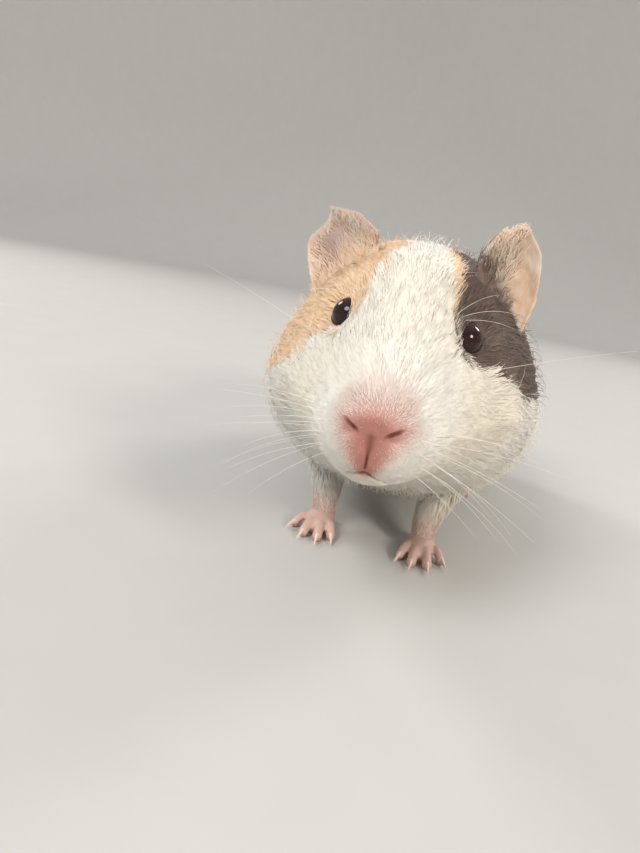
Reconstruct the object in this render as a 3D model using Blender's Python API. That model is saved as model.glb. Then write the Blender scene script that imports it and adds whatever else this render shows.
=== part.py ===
"""A life-size young short-haired guinea pig, standing squarely on its four feet with its head up.

Frame: metres, +Z up. The nose points to -Y and the animal's left side is +X. The origin is on the
floor, under the middle of the body. Every solid reaches out to the tips of the coat.
The body is one smooth barrel that runs from the nose to the rump, parted by thin cuts into muzzle,
head, neck and trunk. The legs are tapered limbs sunk into the trunk, with separate feet and claws.
"""
from collections import namedtuple
import math

import bmesh
import bpy
from mathutils import Matrix, Vector
import numpy as np

MM = 0.001
GAP = 0.3 * MM            # thin cut that parts neighbouring solids
EYE_LINE = (-80.8, 78.0)  # y and height, in millimetres, of the point midway between the eyes
HEAD_PITCH = -8.0         # degrees by which the nose is lifted
RING_POINTS = 28          # points round a body ring
LIMB_POINTS = 12          # points round a limb ring
TOE_POINTS = 8

# A section across the body, in millimetres: how far forward of the eyes (or, for the trunk, its
# y), half its width, the heights of its top, its widest line and its underside (above the eyes,
# or above the floor for the trunk), how much narrower it is at the top, and how square its upper
# and lower halves are (2 is an ellipse).
Section = namedtuple("Section", "at half top belt under taper upper lower")
HEAD = (
    Section(33.0, 1.5, -16.6, -17.6, -18.6, 0.00, 2.0, 2.0),     # tip of the nose
    Section(32.4, 6.6, -13.2, -19.0, -26.4, 0.20, 2.2, 1.9),     # nose pad and upper lip
    Section(29.6, 10.2, -10.0, -21.5, -31.0, 0.28, 2.2, 2.1),    # front of the muzzle
    Section(24.0, 14.0, -4.9, -21.5, -34.0, 0.34, 2.2, 2.2),     # whisker pads
    Section(16.5, 18.4, 2.2, -21.0, -36.2, 0.41, 2.3, 2.2),      # bridge of the nose
    Section(8.5, 23.2, 8.6, -20.5, -39.0, 0.44, 2.3, 2.2),
    Section(0.0, 28.4, 13.6, -20.5, -43.8, 0.46, 2.4, 2.25),     # eyes
    Section(-10.0, 35.2, 17.4, -22.0, -49.6, 0.44, 2.6, 2.3),
    Section(-20.0, 40.6, 19.4, -24.5, -55.8, 0.39, 2.6, 2.35),    # cheeks and ears
    Section(-31.0, 43.8, 19.2, -25.5, -61.3, 0.31, 2.5, 2.35),    # jowls
)
TRUNK = (
    Section(-31.0, 44.6, 94.6, 52.5, 15.5, 0.21, 2.3, 2.2),      # shoulders
    Section(-12.0, 45.2, 95.2, 51.0, 12.5, 0.14, 2.2, 2.2),      # chest
    Section(14.0, 46.2, 96.6, 49.0, 10.8, 0.10, 2.2, 2.3),       # ribs
    Section(45.0, 46.8, 95.6, 46.0, 9.8, 0.08, 2.2, 2.3),        # belly
    Section(74.0, 43.8, 87.0, 44.5, 11.0, 0.06, 2.1, 2.3),       # hips
    Section(96.0, 33.0, 71.5, 43.0, 16.0, 0.04, 2.1, 2.2),       # rump
    Section(107.5, 18.0, 57.0, 42.5, 27.5, 0.00, 2.0, 2.0),      # seat
    Section(111.0, 2.5, 45.0, 42.5, 40.0, 0.00, 2.0, 2.0),       # end of the coat
)
MUZZLE_END, HEAD_END, NECK_END = 3.6, 9.0, 9.85     # cuts, counted in sections from the nose

EYE_RADIUS = 5.0 * MM
EYE_CENTRE = (14.0, -1.6, -1.8)      # left eye: across, forward and up from the eye line
EYE_POINTS = 18

# The ear is a cupped petal on a root line that runs down and back over the side of the head. Its
# rays leave the root at angles from upright, outwards, that fan out from the front edge to the lobe.
EAR_ROOT = ((17.0, -13.5, 11.5), (28.0, -21.5, -2.5))    # its upper and lower ends
EAR_FAN = (22.0, 38.0, 62.0, 88.0)                       # degrees
EAR_REACH = (15.5, 16.5, 11.5, 4.0)                      # millimetres, at the same four rays
EAR_SWEEP = 0.5       # how far the petal turns to face outwards: its rays' lean to the back
EAR_SKIN = 1.7
EAR_CUP = 3.2
EAR_SINK = 4.0        # how far the petal runs on into the head before it is cut off

# A level of a limb: its height, the middle of the limb there, and half its width and half its
# depth, all in millimetres.
Level = namedtuple("Level", "z x y wide deep")
FORELEG = (
    Level(57, 24.0, -21.0, 5.0, 7.0),
    Level(50, 26.5, -18.0, 10.2, 11.5),
    Level(40, 27.2, -17.0, 12.0, 13.5),
    Level(30, 25.5, -18.0, 10.0, 11.5),
    Level(21, 21.8, -22.0, 7.4, 8.4),
    Level(14, 19.0, -27.0, 5.8, 6.6),
    Level(9, 18.0, -31.5, 4.8, 5.4),
    Level(5.5, 17.8, -33.0, 4.0, 4.6),
)
HINDLEG = (
    Level(64, 27.0, 67.0, 6.0, 8.0),
    Level(56, 31.0, 65.0, 12.5, 16.0),
    Level(46, 32.5, 62.5, 15.5, 21.5),
    Level(35, 33.0, 61.0, 14.5, 21.5),
    Level(25, 31.5, 60.5, 11.5, 17.5),
    Level(17, 30.0, 61.5, 8.0, 12.0),
    Level(11, 29.0, 64.0, 5.6, 7.6),
    Level(6.8, 28.5, 65.5, 4.6, 5.6),
)
Foot = namedtuple("Foot", "heel palm toes")
Toe = namedtuple("Toe", "root turn length radius")
# The heel is where the foot meets its leg. The palm is its length, half width and half height.
# A toe has its root's offset from the middle of the palm's front, its turn away from straight
# ahead in degrees, outwards positive, its length and its radius.
FOREFOOT = Foot(
    heel=(17.8, -30.5), palm=(12.5, 5.2, 3.6),
    toes=(Toe((-3.6, 1.5), -15, 9.0, 1.75), Toe((-1.2, 0.2), -4, 10.5, 1.85),
          Toe((1.5, 0.4), 9, 10.0, 1.85), Toe((3.9, 3.4), 27, 7.5, 1.7)),
)
HINDFOOT = Foot(
    heel=(28.3, 69.0), palm=(27.0, 5.6, 4.4),
    toes=(Toe((-3.4, 1.2), -10, 9.5, 2.1), Toe((0.0, 0.0), 1, 11.5, 2.2),
          Toe((3.6, 1.6), 13, 9.5, 2.1)),
)
CLAW_LENGTH, CLAW_RADIUS, CLAW_LOWEST = 4.2 * MM, 1.0 * MM, 0.7 * MM
SIDES = {"left": 1, "right": -1}


def clear_scene():
    for obj in list(bpy.data.objects):
        bpy.data.objects.remove(obj)


def finish(name, colour, roughness):
    material = bpy.data.materials.new(name)
    material.use_nodes = True
    shader = material.node_tree.nodes["Principled BSDF"]
    shader.inputs["Base Color"].default_value = (*colour, 1)
    shader.inputs["Roughness"].default_value = roughness
    shader.inputs["Metallic"].default_value = 0
    return material


def through(knots, values, at):
    """Smooth curve through the values: cubic pieces whose slopes are those of the parabolas
    through each knot and its two neighbours."""
    slopes = np.gradient(values, knots)
    i = np.clip(np.searchsorted(knots, at, side="right") - 1, 0, len(knots) - 2)
    span = knots[i + 1] - knots[i]
    t = (at - knots[i]) / span
    start = values[i] * (1 + 2 * t) * (1 - t) ** 2 + slopes[i] * span * t * (1 - t) ** 2
    end = values[i + 1] * t * t * (3 - 2 * t) + slopes[i + 1] * span * t * t * (t - 1)
    return start + end


def in_head(point):
    """A point given as across, forward and up from the eye line, in millimetres, in the frame."""
    across, forward, up = point
    pitch = math.radians(HEAD_PITCH)
    y = EYE_LINE[0] - forward * math.cos(pitch) + up * math.sin(pitch)
    z = EYE_LINE[1] + forward * math.sin(pitch) + up * math.cos(pitch)
    return Vector((across, y, z)) * MM


def body_table():
    """One row a section, nose first: y and z of its widest line, tilt, half width, height above
    and below that line, taper, upper and lower squareness."""
    rows = []
    for s in HEAD:
        middle = in_head((0, s.at, s.belt))
        rows.append((middle.y, middle.z, math.radians(HEAD_PITCH), s.half * MM,
                     (s.top - s.belt) * MM, (s.belt - s.under) * MM, s.taper, s.upper, s.lower))
    for s in TRUNK:
        rows.append((s.at * MM, s.belt * MM, 0.0, s.half * MM, (s.top - s.belt) * MM,
                     (s.belt - s.under) * MM, s.taper, s.upper, s.lower))
    return np.array(rows)


def power(value, exponent):
    return np.sign(value) * np.abs(value) ** exponent


def body_ring(row, grow=0.0):
    """One ring of the body: two half superellipses that meet at the widest line, the upper one
    narrowing towards its top. Its points are evenly spaced from the top round to the top."""
    y, z, tilt, half, above, below, taper, upper, lower = row
    turn = math.pi / 2 + np.linspace(0, math.tau, 40 * RING_POINTS + 1)
    rises = np.sin(turn) >= 0
    exponent = 2 / np.where(rises, upper, lower)
    lift = power(np.sin(turn), exponent)
    x = (half + grow) * power(np.cos(turn), exponent) * (1 - taper * np.maximum(lift, 0))
    up = np.where(rises, above + grow, below + grow) * lift
    walked = np.concatenate([[0], np.cumsum(np.hypot(np.diff(x), np.diff(up)))])
    stops = np.linspace(0, walked[-1], RING_POINTS + 1)[:-1]
    x, up = np.interp(stops, walked, x), np.interp(stops, walked, up)
    return np.column_stack([x, y + up * math.sin(tilt), z + up * math.cos(tilt)])


def body_rings(first, last, rings, grow=0.0):
    """Rings from one place to another, both counted in sections from the nose, evenly spaced
    along the body's outline."""
    table = body_table()
    steps = np.linalg.norm(np.diff(table[:, [0, 1, 3, 4, 5]], axis=0), axis=1)
    knots = np.concatenate([[0], np.cumsum(steps)])
    ends = np.interp([first, last], np.arange(len(knots)), knots)
    ends += GAP / 2 * np.array([first > 0, -(last < len(knots) - 1)])
    at = np.linspace(ends[0], ends[1], rings)
    rows = np.column_stack([through(knots, column, at) for column in table.T])
    return [body_ring(row, grow) for row in rows]


def placed(name, mesh, material=None, cutter=False):
    obj = bpy.data.objects.new(name, mesh)
    bpy.context.scene.collection.objects.link(obj)
    if material:
        mesh.materials.append(material)
    if cutter:
        obj.hide_render = True
        obj.display_type = "WIRE"
    return obj


def mesh_of(name, bm, smooth=True):
    bmesh.ops.recalc_face_normals(bm, faces=bm.faces)
    mesh = bpy.data.meshes.new(name)
    bm.to_mesh(mesh)
    bm.free()
    if smooth:
        mesh.shade_smooth()
        mesh.set_sharp_from_angle(angle=math.radians(50))
    return mesh


def loft(name, rings, material=None, cutter=False):
    """A closed skin over rings of equally many points, with a flat face on each end."""
    bm = bmesh.new()
    rows = [[bm.verts.new(point) for point in ring] for ring in rings]
    for a, b in zip(rows, rows[1:]):
        for i in range(len(a)):
            j = (i + 1) % len(a)
            bm.faces.new((a[i], a[j], b[j], b[i]))
    bm.faces.new(rows[0])
    bm.faces.new(rows[-1])
    return placed(name, mesh_of(name, bm), material, cutter)


def limb_rings(path, radii, points, rings, round_end=False):
    """Rings square to a smooth path whose radius runs smoothly through the given ones."""
    path, radii = np.array(path) * MM, np.array(radii) * MM
    knots = np.concatenate([[0], np.cumsum(np.linalg.norm(np.diff(path, axis=0), axis=1))])
    at = np.linspace(0, knots[-1], rings)
    centres = np.column_stack([through(knots, column, at) for column in path.T])
    radius = through(knots, radii, at)
    ahead = np.gradient(centres, at, axis=0)
    side = np.cross(ahead, (1.0, 0.0, 0.0))
    side /= np.linalg.norm(side, axis=1)[:, None]
    across = np.cross(ahead, side)
    across /= np.linalg.norm(across, axis=1)[:, None]
    turn = (np.arange(points) + 0.5)[:, None] * math.tau / points
    made = [
        centres[k] + radius[k] * (np.cos(turn) * side[k] + np.sin(turn) * across[k])
        for k in range(rings)
    ]
    if round_end:
        forward = ahead[-1] / np.linalg.norm(ahead[-1])
        for bulge in (0.6, 0.93):
            inset = math.sqrt(1 - bulge ** 2)
            made.append(centres[-1] + (made[rings - 1] - centres[-1]) * inset
                        + forward * radius[-1] * bulge)
    return made


def mirrored(rings, side):
    return [ring * (side, 1, 1) for ring in rings]


def boolean(obj, other, operation):
    modifier = obj.modifiers.new(f"{operation.lower()}_{other.name}", "BOOLEAN")
    modifier.object = other
    modifier.operation = operation
    modifier.solver = "EXACT"


def ball(name, centre, radius, points, material=None, cutter=False, stretch=(1, 1, 1)):
    bm = bmesh.new()
    bmesh.ops.create_uvsphere(bm, u_segments=points, v_segments=points // 2, radius=radius)
    bmesh.ops.scale(bm, vec=stretch, verts=bm.verts)
    bmesh.ops.translate(bm, vec=centre, verts=bm.verts)
    return placed(name, mesh_of(name, bm), material, cutter)


def slab(name, low, high, cutter=True):
    """A box between two corners."""
    low, high = Vector(low), Vector(high)
    bm = bmesh.new()
    bmesh.ops.create_cube(bm, size=1)
    bmesh.ops.scale(bm, vec=high - low, verts=bm.verts)
    bmesh.ops.translate(bm, vec=(low + high) / 2, verts=bm.verts)
    return placed(name, mesh_of(name, bm, smooth=False), cutter=cutter)


def on_side(point, side):
    return Vector((point[0] * side, point[1], point[2]))


def make_ear(name, side, material, head_space):
    """A petal swept by rays from its root line. u runs along the root from its upper end to its
    lower one and v runs out along the ray. Both edges of the petal curl forward."""
    columns, rows = 13, 7
    top, low = (np.array(in_head(end)) for end in EAR_ROOT)
    u = np.linspace(0, 1, columns)
    rays = np.linspace(0, 1, len(EAR_FAN))
    fan = np.radians(through(rays, np.array(EAR_FAN), u))
    reach = through(rays, np.array(EAR_REACH), u) * MM
    ray = np.column_stack([np.sin(fan), 0.10 + EAR_SWEEP * np.sin(fan), np.cos(fan)])
    start = top + (low - top) * u[:, None] - ray * EAR_SINK * MM
    v = np.linspace(0, 1, rows)
    bow = EAR_CUP * MM * (4 * (u * (1 - u))[:, None] * v - 0.5 * v ** 3)
    points = start[:, None] + ray[:, None] * (v * (reach + EAR_SINK * MM)[:, None])[..., None]
    points[..., 1] += bow
    points = points * (side, 1, 1)
    bm = bmesh.new()
    verts = [[bm.verts.new(p) for p in column] for column in points]
    for i in range(columns - 1):
        for j in range(rows - 1):
            bm.faces.new((verts[i][j], verts[i + 1][j], verts[i + 1][j + 1], verts[i][j + 1]))
    ear = placed(name, mesh_of(name, bm), material)
    shell = ear.modifiers.new("thickness", "SOLIDIFY")
    shell.thickness = EAR_SKIN * MM
    shell.offset = 0
    shell.use_even_offset = False
    boolean(ear, head_space, "DIFFERENCE")


def foot_parts(foot, side):
    """Palm and toes as rings of points, and each toe's tip, heading and radius."""
    length, half, thick = foot.palm
    x, y = foot.heel
    front = y - length + 2
    palm_path = ((x, y + 3.5, thick * 0.72), (x, y - 0.35 * length, thick * 0.84), (x, front, 2.2))
    palm = limb_rings(palm_path, (half * 0.8, half * 0.92, half * 0.78), TOE_POINTS + 4, 5)
    for ring in palm:
        middle = ring.mean(axis=0)
        ring[:, 2] = middle[2] + (ring[:, 2] - middle[2]) * thick / half
    toes, tips = [], []
    for toe in foot.toes:
        turn = math.radians(toe.turn)
        heading = Vector((math.sin(turn), -math.cos(turn), 0))
        root = Vector((x + toe.root[0], front + toe.root[1] + 3, toe.radius * 1.35))
        knuckle = root + heading * (toe.length * 0.55) + Vector((0, 0, 0.9))
        tip = root + heading * toe.length
        tip.z = toe.radius * 0.88
        toes.append(limb_rings((root, knuckle, tip), (toe.radius * 1.1, toe.radius * 0.92,
                               toe.radius), TOE_POINTS, 5, round_end=True))
        tips.append((tip * MM, heading, toe.radius * MM))
    return mirrored(palm, side), [mirrored(t, side) for t in toes], tips


def make_claw(name, tip, heading, radius, side, skin_space, material):
    """A curved cone that leaves the top of the toe's tip and stops just above the floor."""
    start = tip + heading * radius * 0.45 + Vector((0, 0, radius * 0.30))
    rings = []
    steps = 5
    for k in range(steps):
        t = k / (steps - 1)
        centre = start + heading * CLAW_LENGTH * t
        centre.z = start.z + (CLAW_LOWEST + 0.35 * MM - start.z) * t ** 1.8
        size = CLAW_RADIUS * (1 - 0.78 * t ** 1.4)
        sideways = heading.cross(Vector((0, 0, 1)))
        turn = np.arange(6) * math.tau / 6
        rings.append(np.array([
            centre + sideways * (size * 0.8 * math.cos(a)) + Vector((0, 0, size * math.sin(a)))
            for a in turn
        ]))
    claw = loft(name, mirrored(rings, side), material)
    boolean(claw, skin_space, "DIFFERENCE")
    return claw


def make_foot(name, claw_name, foot, side, floor, leg_space, materials):
    """Palm and toes joined, sat flat on the floor, cut free of the leg above."""
    palm, toes, tips = foot_parts(foot, side)
    whole = loft(name, palm, materials["skin"])
    for n, toe in enumerate(toes, 1):
        boolean(whole, loft(f"{name}_toe_{n}", toe, cutter=True), "UNION")
    boolean(whole, floor, "DIFFERENCE")
    boolean(whole, leg_space, "DIFFERENCE")
    for n, (tip, heading, radius) in enumerate(tips, 1):
        space = ball(f"{claw_name}_{n}_space", on_side(tip, side), radius + GAP, 10, cutter=True)
        make_claw(f"{claw_name}_{n}", tip, heading, radius, side, space, materials["claw"])


def level_rings(levels, rings, grow=0.0):
    """Level rings up a limb, ellipses whose middles and sizes run smoothly through the levels."""
    table = np.array(levels)[::-1] * MM
    at = np.linspace(table[0, 0], table[-1, 0], rings)
    rows = np.column_stack([through(table[:, 0], column, at) for column in table.T])
    rows[0, 0] -= grow
    rows[-1, 0] += grow
    turn = (np.arange(LIMB_POINTS) + 0.5) * math.tau / LIMB_POINTS
    return [
        np.column_stack([x + (wide + grow) * np.cos(turn), y + (deep + grow) * np.sin(turn),
                         np.full(LIMB_POINTS, z)])
        for z, x, y, wide, deep in rows
    ]


def make_leg(name, levels, side, material, body):
    """A furred limb sunk into the body, which gets room for it. Returns the room it takes."""
    loft(name, mirrored(level_rings(levels, 9), side), material)
    space = loft(f"{name}_space", mirrored(level_rings(levels, 9, GAP), side), cutter=True)
    boolean(body, space, "DIFFERENCE")
    return space


def make_face(muzzle):
    """Nostrils, the groove below them and the line of the mouth, cut into the muzzle."""
    pitch = Matrix.Rotation(math.radians(-HEAD_PITCH), 4, "X")
    for side_name, side in SIDES.items():
        slit = ball(f"nostril_{side_name}", (0, 0, 0), 1 * MM, 10, cutter=True,
                    stretch=(1.8, 1.5, 0.55))
        slit.data.transform(Matrix.Rotation(math.radians(-28 * side), 4, "Y"))
        slit.data.transform(Matrix.Translation(in_head((4.3 * side, 31.6, -17.0))))
        boolean(muzzle, slit, "DIFFERENCE")
    groove = slab("lip_groove", (-0.3 * MM, -4 * MM, -4.2 * MM), (0.3 * MM, 4 * MM, 4.2 * MM))
    groove.data.transform(pitch)
    groove.data.transform(Matrix.Translation(in_head((0, 34.6, -24.0))))
    boolean(muzzle, groove, "DIFFERENCE")


def main():
    clear_scene()
    materials = {
        "white": finish("white_coat", (0.82, 0.79, 0.72), 0.75),
        "tan": finish("tan_ear", (0.66, 0.42, 0.24), 0.7),
        "skin": finish("pink_skin", (0.80, 0.52, 0.46), 0.55),
        "eye": finish("dark_eye", (0.02, 0.012, 0.01), 0.05),
        "claw": finish("claw", (0.78, 0.62, 0.54), 0.35),
    }
    last = len(HEAD) + len(TRUNK) - 1
    muzzle = loft("muzzle", body_rings(0, MUZZLE_END, 10), materials["white"])
    head = loft("head", body_rings(MUZZLE_END, HEAD_END, 14), materials["white"])
    loft("neck", body_rings(HEAD_END, NECK_END, 5), materials["white"])
    trunk = loft("trunk", body_rings(NECK_END, last, 22), materials["white"])
    head_space = loft("head_space", body_rings(0, NECK_END, 26, grow=GAP), cutter=True)
    floor = slab("floor_space", (-0.1, -0.2, -0.05), (0.1, 0.2, 0.0))
    for side_name, side in SIDES.items():
        centre = on_side(in_head(EYE_CENTRE), side)
        ball(f"eye_{side_name}", centre, EYE_RADIUS, EYE_POINTS, materials["eye"])
        socket = ball(f"socket_{side_name}", centre, EYE_RADIUS + GAP, EYE_POINTS, cutter=True)
        boolean(head, socket, "DIFFERENCE")
        make_ear(f"ear_{side_name}", side, materials["tan"], head_space)
        for part, levels, foot in (("fore", FORELEG, FOREFOOT), ("hind", HINDLEG, HINDFOOT)):
            space = make_leg(f"{part}leg_{side_name}", levels, side, materials["white"], trunk)
            make_foot(f"{part}foot_{side_name}", f"claw_{part}_{side_name}", foot, side, floor,
                      space, materials)
    make_face(muzzle)


main()
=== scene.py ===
"""The looks of the guinea pig: one skin, wet eyes, claws, whiskers and a coat of solid tufts.

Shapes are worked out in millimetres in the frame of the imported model: the nose points to -Y, the
animal's left side is +X and the floor is at height 0. They become metres when a mesh is made.
The body, a leg, an ear or a toe is a Surface, a grid of points whose rows run along it and whose
columns run round it. The skin joins them, and the coat's tufts grow from the same grids.
"""

from collections import namedtuple
import math

import bpy
from mathutils import Matrix, Vector
import numpy as np


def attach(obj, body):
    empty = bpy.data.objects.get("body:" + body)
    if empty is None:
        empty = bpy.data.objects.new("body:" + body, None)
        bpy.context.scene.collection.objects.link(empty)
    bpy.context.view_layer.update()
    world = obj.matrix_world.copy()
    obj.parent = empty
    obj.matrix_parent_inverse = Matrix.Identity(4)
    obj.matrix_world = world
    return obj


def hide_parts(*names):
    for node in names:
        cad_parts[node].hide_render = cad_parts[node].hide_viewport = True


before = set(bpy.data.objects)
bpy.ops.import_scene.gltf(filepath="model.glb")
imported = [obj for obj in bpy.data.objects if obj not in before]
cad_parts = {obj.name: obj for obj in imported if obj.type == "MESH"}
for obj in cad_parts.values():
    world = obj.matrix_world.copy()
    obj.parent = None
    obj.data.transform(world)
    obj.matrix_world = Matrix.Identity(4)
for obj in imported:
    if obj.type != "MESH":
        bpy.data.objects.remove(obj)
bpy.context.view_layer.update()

MM = 0.001
SIDES = {"left": 1, "right": -1}
EYE_LINE = (-80.8, 78.0)      # y and height of the point midway between the eyes
HEAD_PITCH = -8.0             # degrees by which the nose is lifted

# A section across the body, out to the tips of the coat: how far forward of the eyes (or, for the
# trunk, its y), half its width, the heights of its top, its widest line and its underside, how
# much narrower it is at the top, and how square its upper and lower halves are. Then the coat
# there: its depth, and a tuft's length and width and the gap from one tuft to the next.
Section = namedtuple("Section", "at half top belt under taper upper lower depth length width gap")
HEAD = [Section(*row) for row in (
    (33.0, 1.5, -16.6, -17.6, -18.6, 0.00, 2.0, 2.0, 0.02, 1.0, 0.10, 0.28),
    (32.4, 6.6, -13.2, -19.0, -26.4, 0.20, 2.2, 1.9, 0.15, 1.8, 0.12, 0.28),
    (29.6, 10.2, -10.0, -21.5, -31.0, 0.28, 2.2, 2.1, 0.45, 3.4, 0.16, 0.30),
    (24.0, 14.0, -4.9, -21.5, -34.0, 0.34, 2.2, 2.2, 0.70, 6.2, 0.20, 0.34),
    (16.5, 18.4, 2.2, -21.0, -36.2, 0.41, 2.3, 2.2, 0.85, 8.4, 0.22, 0.37),
    (8.5, 23.2, 8.6, -20.5, -39.0, 0.44, 2.3, 2.2, 1.00, 9.6, 0.24, 0.39),
    (0.0, 28.4, 13.6, -20.5, -43.8, 0.46, 2.4, 2.25, 1.20, 10.2, 0.26, 0.41),
    (-10.0, 35.2, 17.4, -22.0, -49.6, 0.44, 2.6, 2.3, 1.80, 11.0, 0.30, 0.45),
    (-20.0, 40.6, 19.4, -24.5, -55.8, 0.39, 2.6, 2.35, 3.00, 11.0, 0.36, 0.52),
    (-31.0, 43.8, 19.2, -25.5, -61.3, 0.31, 2.5, 2.35, 4.20, 13.5, 0.44, 0.62),
)]
TRUNK = [Section(*row) for row in (
    (-31.0, 44.6, 94.6, 52.5, 15.5, 0.21, 2.3, 2.2, 5.2, 15.5, 0.48, 0.70),
    (-12.0, 45.2, 95.2, 51.0, 12.5, 0.14, 2.2, 2.2, 6.0, 17.0, 0.54, 0.80),
    (14.0, 46.2, 96.6, 49.0, 10.8, 0.10, 2.2, 2.3, 6.4, 18.0, 0.58, 0.84),
    (45.0, 46.8, 95.6, 46.0, 9.8, 0.08, 2.2, 2.3, 6.6, 19.0, 0.60, 0.86),
    (74.0, 43.8, 87.0, 44.5, 11.0, 0.06, 2.1, 2.3, 6.8, 19.0, 0.60, 0.86),
    (96.0, 33.0, 71.5, 43.0, 16.0, 0.04, 2.1, 2.2, 6.8, 18.0, 0.58, 0.84),
    (105.5, 18.0, 57.0, 42.5, 27.5, 0.00, 2.0, 2.0, 6.4, 15.0, 0.56, 0.82),
    (107.0, 9.5, 47.0, 42.5, 37.5, 0.00, 2.0, 2.0, 7.0, 12.0, 0.56, 0.82),
)]
BODY_ROWS = ((0, 0.30, 0.66, 1), (0, 17, 62))   # shares of the rows, and how far along they reach
BODY_GRID = (216, 240)                          # rows along the body and points round it
RUMP_FROM, RUMP_DRAWN = 90.0, 0.4     # past here a section moves forward by this share of its depth

EYE_RADIUS = 5.0
EYE_CENTRE = (14.0, -1.6, -1.8)        # left eye: across, forward and up from the eye line
EYE_AXIS = (0.75, 0.47, 0.46)          # where it looks, in the same directions
EYE_LEVEL = (-0.30, 0.87, -0.39)       # its front corner's direction
LID_OPENING = (45.0, 13.0)             # degrees from the axis to the lid: least, and more at a corner
LID_CORNER = 2.2                       # how narrow the corners are
LID_POINTS = 96
# The lip's profile: degrees outside the opening, and the height above the eyeball.
LID_PROFILE = ((6, 0.02), (1, 0.06), (-1.5, 0.18), (-0.5, 0.34), (3, 0.38), (9, 0.22), (17, -0.15),
               (26, -0.6), (34, -1.2), (34, -1.9), (20, -1.3))

# Each ear as it would lie on the left: the line it grows from, inside the head, its upper edge out
# to the tip, and its outer edge from the tip down to the lobe.
Ear = namedtuple("Ear", "root ridge rim cup")
EARS = {
    1: Ear(((13.5, -15.0, 12.0), (19.0, -18.5, 7.5), (22.5, -21.5, 1.5), (26.5, -22.5, -4.5)),
           ((14.2, -13.5, 18.2), (17.6, -15.8, 23.6), (24.4, -20.0, 26.4)),
           ((24.4, -20.0, 26.4), (29.6, -24.2, 18.6), (31.3, -26.0, 8.5), (29.6, -23.5, -3.2)), 2.2),
    -1: Ear(((12.5, -16.0, 12.5), (16.5, -19.0, 8.5), (20.5, -22.0, 2.5), (25.5, -23.0, -3.5)),
            ((12.8, -14.0, 18.2), (18.4, -15.8, 21.9), (27.0, -19.4, 22.3)),
            ((27.0, -19.4, 22.3), (28.6, -21.5, 17.0), (33.3, -25.2, 10.5), (29.4, -24.0, -2.2)), 3.2),
}
EAR_TIP = 0.40                 # share of the edge before the tip
EAR_SUNK = 0.22                # how far the ear runs on inside the head, as a share of its height
EAR_SKIN = (1.5, 0.7)          # thickness at its root and at its rim
EAR_COAT = 0.35                # depth of the ear's short hair
EAR_WAVER, EAR_FLARE = 0.22, 0.5       # how far the edge wavers, and how far it flares forward
EAR_CREASE, EAR_LUMPS = 0.25, 0.2      # depth of the folds in the hollow, and of its unevenness
EAR_ROUND, EAR_BLUNT = 0.93, 0.16      # where the rim starts to thin, and its least share of thickness

# Each left leg from its top down: a level's height, the x and y of its middle, its half widths
# along x and y out to the tips of the coat, and the coat's depth there.
LEGS = {
    "fore": ((57, 24.0, -21.0, 5.0, 7.0, 1.5), (50, 26.5, -18.0, 10.2, 11.5, 4.0),
             (40, 27.2, -17.0, 12.0, 13.5, 4.6), (30, 25.5, -18.0, 10.0, 11.5, 3.6),
             (21, 21.8, -22.0, 7.4, 8.4, 2.0), (14, 19.0, -27.0, 5.8, 6.6, 1.0),
             (9, 18.0, -31.5, 4.8, 5.4, 0.5), (4.5, 17.8, -33.0, 4.0, 4.6, 0.3)),
    "hind": ((64, 27.0, 67.0, 6.0, 8.0, 2.0), (56, 31.0, 65.0, 12.5, 16.0, 5.5),
             (46, 32.5, 62.5, 15.5, 21.5, 6.0), (35, 33.0, 61.0, 14.5, 21.5, 5.5),
             (25, 31.5, 60.5, 11.5, 17.5, 4.0), (17, 30.0, 61.5, 8.0, 12.0, 2.0),
             (11, 29.0, 64.0, 5.6, 7.6, 0.8), (5.5, 28.5, 65.5, 4.6, 5.6, 0.3)),
}
# Each left foot: where its heel is, its palm's length, half width and thickness, and its toes: the
# place of a toe's root from the middle of the palm's front, how far it is turned out, and its size.
Foot = namedtuple("Foot", "heel palm toes")
Toe = namedtuple("Toe", "root turn length radius")
FEET = {
    "fore": Foot((17.8, -30.5), (12.5, 5.2, 3.6), (
        Toe((-3.6, 1.5), -15, 9.0, 1.75), Toe((-1.2, 0.2), -4, 10.5, 1.85),
        Toe((1.5, 0.4), 9, 10.0, 1.85), Toe((3.9, 3.4), 27, 7.5, 1.7))),
    "hind": Foot((28.3, 69.0), (27.0, 5.6, 4.4), (
        Toe((-3.4, 1.2), -10, 9.5, 2.1), Toe((0.0, 0.0), 1, 11.5, 2.2),
        Toe((3.6, 1.6), 13, 9.5, 2.1))),
}
CLAW_LENGTH, CLAW_RADIUS, CLAW_LOWEST = 4.2, 1.0, 0.7
WHISKER_RADIUS, WHISKER_SAG = 0.055, (0, 0.55, -0.85)  # its radius at the root, and how it bends
SOLE, SOLE_LOWEST = 0.6, 0.05          # a foot flattens below the one height, down to the other
FOOT_GRAIN, HEEL_TOP = 0.50, 9.0       # size of the cells that blend a foot, and its heel's height


# ---------------- curves and places

def through(knots, values, at):
    """Smooth curve through the values: cubic pieces whose slopes are those of the parabolas
    through each knot and its two neighbours."""
    knots, values = np.asarray(knots, float), np.asarray(values, float)
    slopes = np.gradient(values, knots)
    i = np.clip(np.searchsorted(knots, at, side="right") - 1, 0, len(knots) - 2)
    span = knots[i + 1] - knots[i]
    t = (at - knots[i]) / span
    start = values[i] * (1 + 2 * t) * (1 - t) ** 2 + slopes[i] * span * t * (1 - t) ** 2
    end = values[i + 1] * t * t * (3 - 2 * t) + slopes[i + 1] * span * t * t * (t - 1)
    return start + end


def run_of(path):
    """How far along a path each of its points lies."""
    return np.concatenate([[0], np.cumsum(np.linalg.norm(np.diff(path, axis=0), axis=1))])


def curve(knots, places, at):
    """Smooth curve in space through places at their knots."""
    return np.column_stack([through(knots, axis, at) for axis in np.transpose(places)])


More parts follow.
